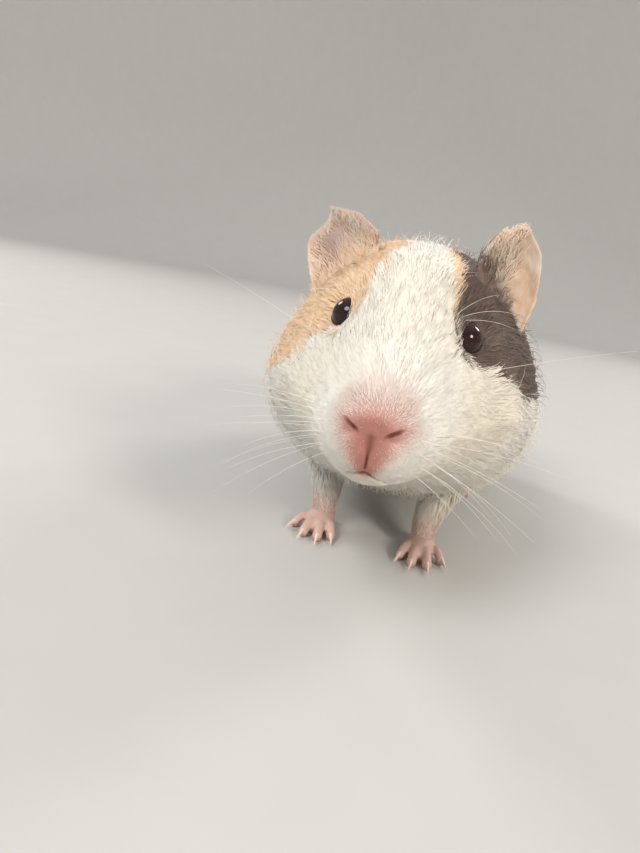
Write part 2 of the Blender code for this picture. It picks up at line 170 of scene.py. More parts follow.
def ease(value, low, high):
    """0 below low, 1 above high, and a smooth step between them."""
    t = np.clip((value - low) / (high - low), 0, 1)
    return t * t * (3 - 2 * t)


def fade(value, low, high):
    """1 below low, 0 above high, and a smooth step between them."""
    return 1 - ease(value, low, high)


def unit(vectors):
    """Each vector at a length of one."""
    return vectors / np.maximum(np.linalg.norm(vectors, axis=-1, keepdims=True), 1e-9)


def dot(a, b):
    """The dot product of each pair of vectors."""
    return np.sum(a * b, axis=-1)


def flat_on(vectors, normals):
    """The part of each vector that lies along the surface whose normal is given, one long."""
    return unit(vectors - normals * dot(vectors, normals)[..., None])


def mound(x, y, middle, reach):
    """A round hill, 1 at its middle: e to the minus square of the distance as a share of its
    reach."""
    return np.exp(-((x - middle[0]) / reach[0]) ** 2 - ((y - middle[1]) / reach[1]) ** 2)


def circle(count, across, above):
    """Places evenly round a circle between two directions, the first along the first of them."""
    turn = (np.arange(count) * math.tau / count)[:, None]
    return np.cos(turn) * across + np.sin(turn) * above


def ripple(points, scale, seed, waves=12):
    """Smooth noise, mostly between -1 and 1: sine waves of about the given length that run in
    random directions, added up."""
    random = np.random.default_rng(seed)
    run = unit(random.normal(size=(waves, 3))) * random.uniform(0.6, 1.5, (waves, 1)) * math.tau / scale
    phases = random.uniform(0, math.tau, waves)
    return np.sin(np.asarray(points) @ run.T + phases).sum(axis=-1) / 3.5


PITCH = math.radians(HEAD_PITCH)


def in_head(places):
    """Places given as across, forward and up from the eye line, in the frame."""
    across, forward, up = np.moveaxis(np.asarray(places, float), -1, 0)
    y = EYE_LINE[0] - forward * math.cos(PITCH) + up * math.sin(PITCH)
    z = EYE_LINE[1] + forward * math.sin(PITCH) + up * math.cos(PITCH)
    return np.stack([across, y, z], axis=-1)


def to_head(points):
    """How far across, forward of and above the eye line points of the frame are."""
    x, y, z = np.moveaxis(np.asarray(points, float), -1, 0)
    y, z = y - EYE_LINE[0], z - EYE_LINE[1]
    forward = z * math.sin(PITCH) - y * math.cos(PITCH)
    return x, forward, y * math.sin(PITCH) + z * math.cos(PITCH)


def turned_to_head(direction):
    """A direction given as across, forward and up, in the frame, one long."""
    return unit(in_head(direction) - in_head((0, 0, 0)))


class Surface:
    """A closed sheet kept as a grid of points. Rows run along it, columns run round it and meet,
    and the coat's depth is known at each point."""

    def __init__(self, points, depth):
        self.points, self.depth = points, depth
        self.along = np.gradient(points, axis=0)
        self.around = (np.roll(points, -1, axis=1) - np.roll(points, 1, axis=1)) / 2
        self.normals = unit(np.cross(self.along, self.around))

    def at(self, field, row, column):
        """A field of the grid between its points, weighed by nearness along and round."""
        rows, columns = field.shape[:2]
        row = np.clip(row, 0, rows - 1.001)
        r, c = row.astype(int), np.floor(column).astype(int)
        s, t = row - r, column - c
        if field.ndim == 3:
            s, t = s[..., None], t[..., None]
        c, d = c % columns, (c + 1) % columns
        return ((field[r, c] * (1 - t) + field[r, d] * t) * (1 - s)
                + (field[r + 1, c] * (1 - t) + field[r + 1, d] * t) * s)

    def past_end(self, row, column, most, rows=6):
        """How a place past the last row lies from that row, straight on as the last rows run and
        no further than the given most, in millimetres."""
        run = np.broadcast_to((self.points[-1] - self.points[-1 - rows]) / rows, self.points.shape)
        step = self.at(run, row, column)
        over = np.maximum(row - (len(self.points) - 1), 0)
        over = np.minimum(over, most / np.maximum(np.linalg.norm(step, axis=1), 1e-6))
        return step * over[:, None]

    def areas(self):
        """The area of the cell beyond each point of the grid."""
        return np.linalg.norm(np.cross(self.along, self.around), axis=2)

    def walk(self, row, column, course, stride, steps):
        """The rows and columns that a hair passes as it lies along the sheet: each stride heads
        for its course, laid flat on the sheet where the stride begins."""
        stops = [(row, column)]
        for _ in range(steps):
            a, b = self.at(self.along, row, column), self.at(self.around, row, column)
            aa, bb, ab = dot(a, a), dot(b, b), dot(a, b)
            ca, cb = dot(course, a), dot(course, b)
            det = np.maximum(aa * bb - ab * ab, 1e-9)
            down, across = (ca * bb - cb * ab) / det, (cb * aa - ca * ab) / det
            reached = np.linalg.norm(down[:, None] * a + across[:, None] * b, axis=1)
            step = stride / np.maximum(reached, 1e-6)
            row, column = row + down * step, column + across * step
            stops.append((row, column))
        return stops


# ---------------- meshes

def new_piece(name, points, faces):
    """A smooth mesh object from points in millimetres and faces of equally many corners."""
    mesh = bpy.data.meshes.new(name)
    points, faces = np.asarray(points, np.float32), np.asarray(faces, np.int32)
    mesh.vertices.add(len(points))
    mesh.vertices.foreach_set("co", (points * MM).ravel())
    mesh.loops.add(faces.size)
    mesh.loops.foreach_set("vertex_index", faces.ravel())
    mesh.polygons.add(len(faces))
    mesh.polygons.foreach_set("loop_start", np.arange(len(faces), dtype=np.int32) * faces.shape[1])
    mesh.polygons.foreach_set("use_smooth", np.ones(len(faces), bool))
    mesh.update(calc_edges=True)
    mesh.validate()
    piece = bpy.data.objects.new(name, mesh)
    bpy.context.scene.collection.objects.link(piece)
    return piece


def walls(grid):
    """Four-cornered faces between the rows of a grid of indices whose columns meet."""
    right = np.roll(grid, -1, axis=1)
    return np.stack([grid[:-1], grid[1:], right[1:], right[:-1]], axis=-1).reshape(-1, 4)


def halved(quads):
    """Each four-cornered face as two triangles."""
    return np.concatenate([quads[:, [0, 1, 2]], quads[:, [0, 2, 3]]])


def fan(ring, middle):
    """Triangles from each edge of a ring of indices to one middle point."""
    return np.column_stack([ring, np.roll(ring, -1), np.full(len(ring), middle)])


def closed_piece(name, points, sheet=False):
    """A closed mesh over a grid whose columns meet. Each end is closed by a fan of triangles to
    its middle point or, on a thin sheet, by a strip that joins its two faces."""
    rows, columns = points.shape[:2]
    grid = np.arange(rows * columns).reshape(rows, columns)
    quads = walls(grid)
    if sheet:
        near, far = grid[:, :columns // 2], grid[:, :columns // 2 - 1:-1]
        start = np.column_stack([near[0, :-1], near[0, 1:], far[0, 1:], far[0, :-1]])
        end = np.column_stack([near[-1, 1:], near[-1, :-1], far[-1, :-1], far[-1, 1:]])
        return new_piece(name, points.reshape(-1, 3), np.concatenate([quads, start, end]))
    caps = (fan(grid[0], grid.size), fan(grid[-1], grid.size + 1)[:, [1, 0, 2]])
    middles = (points[0].mean(axis=0), points[-1].mean(axis=0))
    return new_piece(name, np.concatenate([points.reshape(-1, 3), middles]),
                     np.concatenate([halved(quads), *caps]))


def read(items, name, width=3, kind=np.float32):
    """What the items of a mesh say under a name, one row for each."""
    values = np.empty(len(items) * width, kind)
    items.foreach_get(name, values)
    return values.reshape(-1, width)


def points_of(piece):
    """A piece's points, in millimetres."""
    return read(piece.data.vertices, "co").astype(float) / MM


def move_points(piece, points):
    """Puts a piece's points at places in millimetres."""
    piece.data.vertices.foreach_set("co", (np.asarray(points, np.float32) * MM).ravel())
    piece.data.update()


def settle(piece):
    """Leaves a piece as its modifiers shape it."""
    graph = bpy.context.evaluated_depsgraph_get()
    mesh = bpy.data.meshes.new_from_object(piece.evaluated_get(graph))
    old, piece.data = piece.data, mesh
    piece.modifiers.clear()
    mesh.name = piece.name
    bpy.data.meshes.remove(old)


def paint(piece, **fields):
    """Gives a piece four numbers at each of its points, for its material to read."""
    for name, values in fields.items():
        field = piece.data.attributes.new(name, "FLOAT_COLOR", "POINT")
        field.data.foreach_set("color", values.astype(np.float32).ravel())


def join_into(piece, others):
    """Unites closed pieces into one and removes the others."""
    for other in others:
        union = piece.modifiers.new("join", "BOOLEAN")
        union.operation, union.solver, union.object = "UNION", "MANIFOLD", other
    settle(piece)
    for other in others:
        bpy.data.objects.remove(other)


def relax(piece, share, rounds):
    """Smooths a mesh: each round moves every point the given share of the way to the mean of its
    neighbours."""
    start, end = read(piece.data.edges, "vertices", 2, np.int32).T
    points = points_of(piece)
    count = (np.bincount(start, minlength=len(points)) + np.bincount(end, minlength=len(points)))[:, None]
    for _ in range(rounds):
        total = np.stack([np.bincount(start, axis[end], len(points))
                          + np.bincount(end, axis[start], len(points)) for axis in points.T], axis=1)
        points += (total / np.maximum(count, 1) - points) * share
    move_points(piece, points)


# ---------------- the body's parts as surfaces

def power(value, exponent):
    """A power of a number's size that keeps its sign."""
    return np.sign(value) * np.abs(value) ** exponent


def body_surface():
    """The body from the nose to the rump. A section is two half superellipses that meet at its
    widest line, the upper one narrowing towards its top, and is drawn in by the coat's depth.
    Sections blend smoothly from one to the next, and points are evenly spaced round each."""
    def drawn_in(s, y, z, tilt):
        """A section's place and tilt, its half width and its two heights less the coat's depth,
        and the rest of its row."""
        return (y, z, tilt, s.half - s.depth, s.top - s.belt - s.depth, s.belt - s.under - s.depth,
                *s[5:])

    table = [drawn_in(s, *in_head((0, s.at, s.belt))[1:], PITCH) for s in HEAD]
    table += [drawn_in(s, s.at - RUMP_DRAWN * s.depth * (s.at > RUMP_FROM), s.belt, 0.0)
              for s in TRUNK]
    table = np.array(table)
    knots = run_of(table[:, [0, 1, 3, 4, 5]])
    rows, columns = BODY_GRID
    shares, reach = BODY_ROWS
    at = np.interp(np.linspace(0, 1, rows), shares, (*reach, knots[-1]))
    fields = curve(knots, table, at).T
    y, z, tilt, half, above, below, taper, upper, lower = (f[:, None] for f in fields[:9])
    turn = math.pi / 2 + np.linspace(0, math.tau, 12 * columns + 1)
    rises = np.sin(turn) >= 0
    exponent = 2 / np.where(rises, upper, lower)
    lift = power(np.sin(turn), exponent)
    x = half * power(np.cos(turn), exponent) * (1 - taper * np.maximum(lift, 0))
    up = np.where(rises, above, below) * lift
    walked = np.cumsum(np.hypot(np.diff(x), np.diff(up)), axis=1)
    walked = np.concatenate([np.zeros((rows, 1)), walked], axis=1)
    stops = np.arange(columns) / columns
    even = [(np.interp(stops * w[-1], w, a), np.interp(stops * w[-1], w, b))
            for w, a, b in zip(walked, x, up)]
    x, up = np.moveaxis(np.array(even), 1, 0)
    points = np.stack([x, y + up * np.sin(tilt), z + up * np.cos(tilt)], axis=-1)
    coat = {name: np.repeat(f[:, None], columns, axis=1)
            for name, f in zip(("depth", "length", "width", "gap"), fields[9:])}
    return Surface(points, coat["depth"]), coat


def one_sided(points, side):
    """A left-hand grid, or its mirror image for the right, with its columns turned round so that
    its faces still point outwards."""
    return points if side > 0 else points[:, ::-1] * (-1, 1, 1)


def leg_surface(levels, side, rows=46, columns=40):
    """A leg from its top down: level ellipses whose middles and sizes run smoothly through the
    given ones, drawn in by the coat's depth."""
    table = np.array(levels, float)[::-1]
    at = np.linspace(table[0, 0], table[-1, 0], rows)[::-1]
    z, x, y, wide, deep, depth = curve(table[:, 0], table, at).T[..., None]
    turn = (np.arange(columns) + 0.5) * math.tau / columns
    points = np.stack([x + (wide - depth) * np.cos(turn), y + (deep - depth) * np.sin(turn),
                       z + 0 * turn], axis=-1)
    return Surface(one_sided(points, side), np.repeat(depth, columns, axis=1))


def ear_surface(side, rows=40, columns=48):
    """A cupped petal: straight lines from the root to the edge, bowed back in their middle. The
    edge is two smooth curves that meet at the tip. The grid goes down the front of the ear and
    back up behind it, and its rows run from the root, sunk in the head, to the edge."""
    ear = EARS[side]
    u = np.concatenate([np.linspace(0, 1, columns), np.linspace(1, 0, columns)])
    front = np.concatenate([np.ones(columns), -np.ones(columns)])

    def along(points, share):
        """Places on the smooth line through points, at shares of its length."""
        return curve(np.linspace(0, 1, len(points)), points, np.clip(share, 0, 1))

    root = along(ear.root, u)
    edge = np.where(u[:, None] < EAR_TIP, along(ear.ridge, u / EAR_TIP),
                    along(ear.rim, (u - EAR_TIP) / (1 - EAR_TIP)))
    edge[:, 0] += EAR_WAVER * np.sin(u * 23.0 + side) * np.sin(math.pi * u)
    v = np.linspace(-EAR_SUNK, 1, rows)[:, None]
    points = root + (edge - root) * v[..., None]
    hollow = np.sin(math.pi * np.clip(v, 0, 1)) ** 0.8 * np.sin(math.pi * u) ** 0.6
    folds = EAR_CREASE * np.sin(u * 15 + v * 3.0) * hollow + EAR_LUMPS * ripple(points, 5.0, 8)
    points[..., 1] += folds - ear.cup * hollow + EAR_FLARE * ease(v, 0.7, 1.0)
    points = in_head(points)
    tangent_v, tangent_u = np.gradient(points, axis=0), np.gradient(points, axis=1)
    tangent_u[:, columns - 1:columns + 1] = tangent_u[:, [columns - 2, columns + 1]]
    across = unit(np.cross(tangent_v, tangent_u * front[None, :, None]))
    across = across * np.sign(-across[..., 1:2].mean())
    thick = EAR_SKIN[0] + (EAR_SKIN[1] - EAR_SKIN[0]) * np.clip(v, 0, 1)
    side_edge = np.clip(np.minimum(u, 1 - u) * 12, 0, 1)
    far_edge = np.clip((v - EAR_ROUND) / 0.07, 0, 1)
    round_edge = np.sqrt(1 - (1 - side_edge) ** 2) * np.sqrt(1 - 0.94 * far_edge ** 2)
    points = points + across * (0.5 * thick * np.maximum(round_edge, EAR_BLUNT) * front)[..., None]
    points = one_sided(points[:, ::-1], side)
    return Surface(points, np.full(points.shape[:2], EAR_COAT))


def limb_points(path, radii, columns, rows):
    """A round limb along a smooth path, square to it, whose radius runs smoothly through the
    given ones and which ends in a dome."""
    knots = run_of(path)
    at = np.linspace(0, knots[-1], rows)
    centres, radius = curve(knots, path, at), through(knots, radii, at)
    ahead = unit(np.gradient(centres, at, axis=0))
    dome = np.linspace(0, math.pi / 2, 7)[1:]
    centres = np.concatenate([centres, centres[-1] + ahead[-1] * radius[-1] * np.sin(dome)[:, None]])
    radius = np.concatenate([radius, radius[-1] * np.maximum(np.cos(dome), 0.02)])
    ahead = np.concatenate([ahead, np.repeat(ahead[-1:], len(dome), axis=0)])
    side = unit(np.cross(ahead, (1.0, 0.0, 0.0)))
    across = unit(np.cross(ahead, side))
    return centres[:, None] + radius[:, None, None] * circle(columns, side[:, None], across[:, None])


def foot_plan(foot):
    """Where a left foot's palm and toes lie: the palm's path and radii, and each toe's path,
    radii, tip and heading."""
    length, half, thick = foot.palm
    x, y = foot.heel
    front = y - length + 2
    palm = (((x, y + 3.5, thick * 0.72), (x, y - 0.35 * length, thick * 0.84), (x, front, 2.2)),
            (half * 0.8, half * 0.92, half * 0.78))
    toes = []
    for toe in foot.toes:
        turn = math.radians(toe.turn)
        heading = np.array((math.sin(turn), -math.cos(turn), 0))
        root = np.array((x + toe.root[0], front + toe.root[1] + 3, toe.radius * 1.35))
        knuckle = root + heading * toe.length * 0.55 + (0, 0, 0.9)
        tip = root + heading * toe.length
        tip[2] = toe.radius * 0.88
        toes.append(((root, knuckle, tip), (toe.radius * 1.05, toe.radius * 0.86, toe.radius * 0.95),
                     tip, heading))
    return palm, toes


def foot_piece(part, side):
    """Palm, toes and pads joined into one skin, sat flat on the floor."""
    foot = FEET[part]
    palm, toes = foot_plan(foot)
    _, half, thick = foot.palm
    rings = limb_points(*palm, columns=30, rows=16)
    middle = rings.mean(axis=1, keepdims=True)[..., 2]
    rings[..., 2] = middle + (rings[..., 2] - middle) * thick / half
    grids = [rings]
    for path, radii, _, _ in toes:
        grids.append(limb_points(path, radii, columns=20, rows=16))
        pad = np.array(path[2]) + (0, 0, -0.25)
        grids.append(limb_points((pad + (0, 1.6, 0), pad), (radii[2] * 0.8, radii[2] * 0.95),
                                 columns=16, rows=5))
    x, y = foot.heel
    grids.append(limb_points(((x, y - 2.0, HEEL_TOP), (x, y - 1.0, 2.5)),
                             (half * 0.72, half * 0.80), columns=24, rows=8))
    whole, *rest = [closed_piece(f"{part}_foot_part", one_sided(g, side)) for g in grids]
    join_into(whole, rest)
    whole.name = f"{part}foot_skin"
    remesh = whole.modifiers.new("blend", "REMESH")
    remesh.mode, remesh.voxel_size = "VOXEL", FOOT_GRAIN * MM
    settle(whole)
    relax(whole, 0.5, 6)
    points = points_of(whole)
    low = points[:, 2]
    flat = SOLE_LOWEST + np.maximum(low - SOLE_LOWEST, 0) ** 2 / SOLE
    points[:, 2] = np.where(low < SOLE, flat, low)
    move_points(whole, points)
    return whole


# ---------------- face

NOSTRIL, NOSTRIL_RUN = (4.7, -17.0), (0.86, 0.51)      # its middle, across and up, and its way
NOSTRIL_SIZE, NOSTRIL_BEND = (0.75, 0.46), 0.07        # half its line, its edge's reach, its bend
NOSE_UP, NOSE_SIZE = -16.8, (6.4, 3.6)                 # middle and half size of the bare nose
MOUTH_UP, MOUTH_FALL = -28.0, (0.25, 0.055)            # middle of the mouth, and how it falls outwards
NOSTRIL_DEPTH, GROOVE_DEPTH, MOUTH_DEPTH = 0.95, (0.55, 0.35), 0.8
SKIN_BUMPS = 0.10                                      # height of the skin's slow unevenness
LID_CLEAR, LID_SUNK = 0.15, 0.6                        # the skin over the eyeball, and under it inside
# What swells and sinks on the muzzle: its height, its middle across and up, and its reach each way.
FACE_HILLS = (
    (0.35, (5.6, -15.4), (2.6, 2.0)),      # the wing of the nose
    (0.30, (4.4, -21.2), (2.2, 2.2)),      # below the nostril
    (0.75, (5.6, -24.6), (4.0, 3.4)),      # the whisker pad
    (0.60, (0.0, -32.3), (4.5, 2.0)),      # the chin
    (-0.30, (4.4, -18.6), (1.9, 0.9)),     # the hollow under the nostril
)


def eye_frame(side):
    """The eye's centre, where it looks, its front corner's direction and the way up."""
    centre = in_head(EYE_CENTRE) * (side, 1, 1)
    axis = turned_to_head(EYE_AXIS) * (side, 1, 1)
    level = turned_to_head(EYE_LEVEL) * (side, 1, 1)
    level = unit(level - axis * dot(level, axis))
    up = np.cross(axis, level) * -side
    return centre, axis, level, up


def eye_angle(points, side):
    """How far points are outside the lids, in degrees round the eye's centre from the lid's
    edge, and how far they are from that centre. The lid's edge lies further from the eye's axis
    towards its two corners."""
    centre, axis, level, up = eye_frame(side)
    away = points - centre
    far = np.linalg.norm(away, axis=-1)
    direction = unit(away)
    fore, high = dot(direction, level), dot(direction, up)
    angle = np.degrees(np.arccos(np.clip(dot(direction, axis), -1, 1)))
    corner = np.abs(fore) / np.maximum(np.hypot(fore, high), 1e-6)
    return angle - LID_OPENING[0] - LID_OPENING[1] * corner ** LID_CORNER, far


def lid_piece(side):
    """The lids: a lip swept round the eye. Its profile leaves the eyeball at the opening, rolls
    over a rounded edge and runs out and down into the skin."""
    centre, axis, level, up = eye_frame(side)
    around = circle(LID_POINTS, level, up)
    corner = np.abs(circle(LID_POINTS, 1.0, 0.0)) ** LID_CORNER
    out, rise = np.array(LID_PROFILE).T
    angle = np.radians(LID_OPENING[0] + LID_OPENING[1] * corner + out)[..., None]
    points = centre + (EYE_RADIUS + rise)[:, None] * (
        np.cos(angle) * axis + np.sin(angle) * around[:, None])
    grid = points if side > 0 else points[:, ::-1]
    rows, columns = grid.shape[:2]
    index = np.arange(rows * columns).reshape(rows, columns)
    down, right = np.roll(index, -1, axis=0), np.roll(index, -1, axis=1)
    faces = np.stack([index, right, np.roll(down, -1, axis=1), down], axis=-1)
    return new_piece("lids", grid.reshape(-1, 3), faces.reshape(-1, 4))


def nostril_slit(across, up):
    """How far a point of the nose lies from a nostril: 1 at its edge. A nostril is a short line
    that rises outwards and bends down at its outer end."""
    run, off = across - NOSTRIL[0], up - NOSTRIL[1]
    level, rise = NOSTRIL_RUN
    along, out = run * level + off * rise, off * level - run * rise
    past_end = np.maximum(np.abs(along) - NOSTRIL_SIZE[0], 0)
    return np.hypot(past_end, (out + NOSTRIL_BEND * along ** 2) / NOSTRIL_SIZE[1])


def groove(x, up, wider, start, end):
    """1 down the middle of the groove below the nose, which begins and ends between two pairs of
    heights. wider is by how much it widens, and between which heights."""
    middle = 0.34 + wider[0] * ease(up, *wider[1:])
    return np.exp(-(x / middle) ** 2) * (ease(up, *start) * fade(up, *end))


def above_mouth(across, up):
    """How far above the line between the lips a point lies: a line that falls outwards."""
    return up - MOUTH_UP + MOUTH_FALL[1] * across ** 2 + MOUTH_FALL[0] * across


def shaped_face(surface):
    """Moves the body's skin in and out along its normals for what the sections leave out: the
    nostrils, the groove below the nose and the mouth pressed in, and the nose's wings, the
    whisker pads and the chin swelling out. Round each eye it is brought to just above the
    eyeball, and inside the lids to below it."""
    points, normals = surface.points, surface.normals
    x, forward, up = to_head(points)
    ax = np.abs(x)
    push = np.zeros(x.shape)
    for height, middle, reach in FACE_HILLS:
        push += height * mound(ax, up, middle, reach)
    push -= NOSTRIL_DEPTH * fade(nostril_slit(ax, up), 0.0, 1.7)
    fold = groove(x, up, (0.62, -23.0, -20.0), (-27.6, -26.4), (-19.0, -17.4))
    push -= (GROOVE_DEPTH[0] + GROOVE_DEPTH[1] * ease(-up, 21, 25)) * fold
    push -= MOUTH_DEPTH * np.exp(-(above_mouth(ax, up) / 0.42) ** 2) * fade(ax, 3.0, 6.5)
    push = push * ease(forward, 20, 27)
    push += SKIN_BUMPS * ripple(points, 4.5, 5) * ease(forward, -30, 10)
    shaped = points + normals * push[..., None]
    for side in SIDES.values():
        centre = eye_frame(side)[0]
        beyond, far = eye_angle(shaped, side)
        inside = fade(beyond, -4, 1)
        wanted = (EYE_RADIUS + LID_CLEAR + 0.02 * np.clip(beyond, 0, 30)) * (1 - inside)
        wanted += (EYE_RADIUS - LID_SUNK) * inside
        beside = fade(beyond, 6, 36) * fade(far, 7.5, 10.5)
        shaped = centre + (shaped - centre) * (1 + (wanted / far - 1) * beside)[..., None]
    return shaped


# ---------------- markings

# Where the coloured patches begin: the line that bounds each on the head, as pairs of the angle
# round the head from its top and how far forward of the eyes the patch reaches at that angle.
TAN_EDGE = ((8, -60), (10, -16), (14, -9), (17, -2.5), (21, 2.0), (27.3, 5.5), (33, 7.6), (41, 8.6),
            (52, 7.8), (62, 6.0), (70, 4.2), (80, 2.8), (88, 4.2), (96, 2.8), (106, -5.5),
            (112, -15), (118, -30), (122, -60))
STRIP_EDGE = ((7, -60), (9.5, -20), (11, -13), (12.5, -7.5), (17.5, -1.8), (22, 1.8), (26.7, 5.2),
              (33, 8.0), (39.5, 9.0), (46, 8.0), (52, 3.0), (62, -20), (66, -60))
SLATE_EDGE = ((13, -60), (15.7, -15), (19.4, -8.8), (23.4, -3.6), (27.4, 0.0), (31.2, 4.6), (36, 8.6),
              (42, 9.4), (50, 9.4), (58, 9.0), (65, 7.6), (74.5, 3.4), (87.0, -4.4), (94.5, -11.5),
              (101, -24), (107, -60))
PATCH_END = (-37.0, -30.0)       # where the patches fade behind the ears, as how far forward
HEAD_CORE = -12.0                # the height that the angles are taken round
EAR_BASE, EAR_RISE = (13.5, 12.0), (0.786, 0.619)      # a point of an ear's base line, and the way up it
SHOULDER, SHOULDER_SIZE = (-12, 55), (18, 16)          # the tan tint on the right one, along and up


def markings(points, part="body"):
    """Tan, slate, pink and cream at each point of the body, a leg or an ear, 0 to 1. A patch
    covers the head where it is further back than its line, whose edge wavers."""
    x, forward, up = to_head(points)
    waver = 0.8 * ripple(points, 9.0, 11) + 0.5 * ripple(points, 3.0, 12)
    around = np.degrees(np.arctan2(np.abs(x), up - HEAD_CORE))

    def patch(line, soft=0.9):
        """1 behind a line and 0 in front of it."""
        limit = np.interp(around, *np.array(line, float).T)
        return ease(limit - forward + waver, -soft, soft)

    behind = ease(forward + 2.5 * ripple(points, 14.0, 13), *PATCH_END)
    right, left = ease(-x, -0.5, 0.5), ease(x, -0.5, 0.5)
    slate = patch(SLATE_EDGE) * left * behind
    tan = np.maximum(patch(TAN_EDGE) * right, patch(STRIP_EDGE, 0.7) * left) * behind
    nose = nose_reach(x, forward, up)
    above = ease(up, -15, -11)
    pink = fade(nose, 0.75, 2.25 + 1.6 * above)
    # Faint pink up the bridge: partly skin showing through, partly painted shade where it turns down.
    pink = np.maximum(pink, 0.20 * above * fade(nose, 2.5, 7.0))
    # Cream wanders as the coat's own tone; the shift to the left side is painted warm light.
    cream = np.clip(0.45 + 0.35 * ripple(points, 40.0, 14) + ease(x, 5, 30) * 0.35
                    - ease(-x, 5, 30) * 0.25, 0, 1)
    if part == "ear":
        cream = np.where(x < 0, 0.25, 0.7)
        pale = 0.34 * ease(up, 8, 18) + 0.12 * ease(np.abs(x), 26, 31) + 0.06 * (x < 0)
        speck = 0.14 * ripple(points, 6.0, 15) + 0.16 * ripple(points, 1.1, 16)
        root = EAR_RISE[0] * (np.abs(x) - EAR_BASE[0]) + EAR_RISE[1] * (up - EAR_BASE[1])
        root = root + 1.2 * ripple(points, 2.5, 17)
        slate = 0.95 * fade(root, 2.0, 7.0) * (x > 0)
        pink = 0.20 + 0.30 * (x < 0) * ease(root, 2.0, 9.0)
        pale = pale * np.where(x < 0, ease(root, 1.0, 8.0), 1)
        tan = np.clip(0.90 - pale + speck, 0.08, 1) * (1 - slate)
    if part == "leg":
        pink = np.maximum(pink, fade(points[..., 2], 8, 17))
        tan, slate = tan * 0, slate * 0
    shoulder = ease(-x, 26, 38) * mound(points[..., 1], points[..., 2], SHOULDER, SHOULDER_SIZE)
    tan = np.clip(tan + 0.22 * shoulder, 0, 1) * (1 - slate)
    return np.stack([tan, slate, pink, cream], axis=-1)


def nose_reach(x, forward, up):
    """How far a point lies from the bare nose: 1 at its edge, growing outwards. The bare part is
    an oval round the nostrils with a strip down the groove below them."""
    oval = np.hypot(x / NOSE_SIZE[0], (up - NOSE_UP) / NOSE_SIZE[1])
    wide = 1.9 + 2.8 * ease(up, -28.5, -20.0)
    strip = np.hypot(x / wide, np.maximum(np.abs(up + 23.0) - 4.5, 0) / 1.2)
    return np.minimum(oval, strip) + 4 * fade(forward, 22, 27)


# ---------------- coat

FACET = 0.13       # how much of a tuft's own shape shows in its shading, over the skin's curve
FLAT = 0.26        # a tuft's height as a share of its width
PATCH = 0.003      # side of a tuft's patch on the map
MAP_EDGE = 0.005   # margin round the map
CORNERS = ((0, 1), (1, 2), (2, 0))     # the sides of a tuft's section
TUFT_ROLL = 0.25                       # how much tufts are turned about their own length, in radians
PROUD, PROUD_LIFT, PROUD_WIDTH = 0.05, 0.25, 0.6       # fine hairs: their share, and how they stand out
LOCK_WAVES, LOCK_WAVER = 7.0, 1.2      # length and size of the waves in the edges of the locks
LOCK_LIFT, LOCK_TONE, TUFT_TONE = 0.06, 0.16, 0.2      # how much locks and tufts differ
EYE_TRIES = (1.0, 0.8, 0.6, 0.45, 0.3, 0.15)           # shares of a hair that are kept off the eyes
EYE_CLEAR, EYE_NEAR = -1.5, 8.5        # degrees outside the lids, or distance, where hair may lie
SHORTEST = 0.3


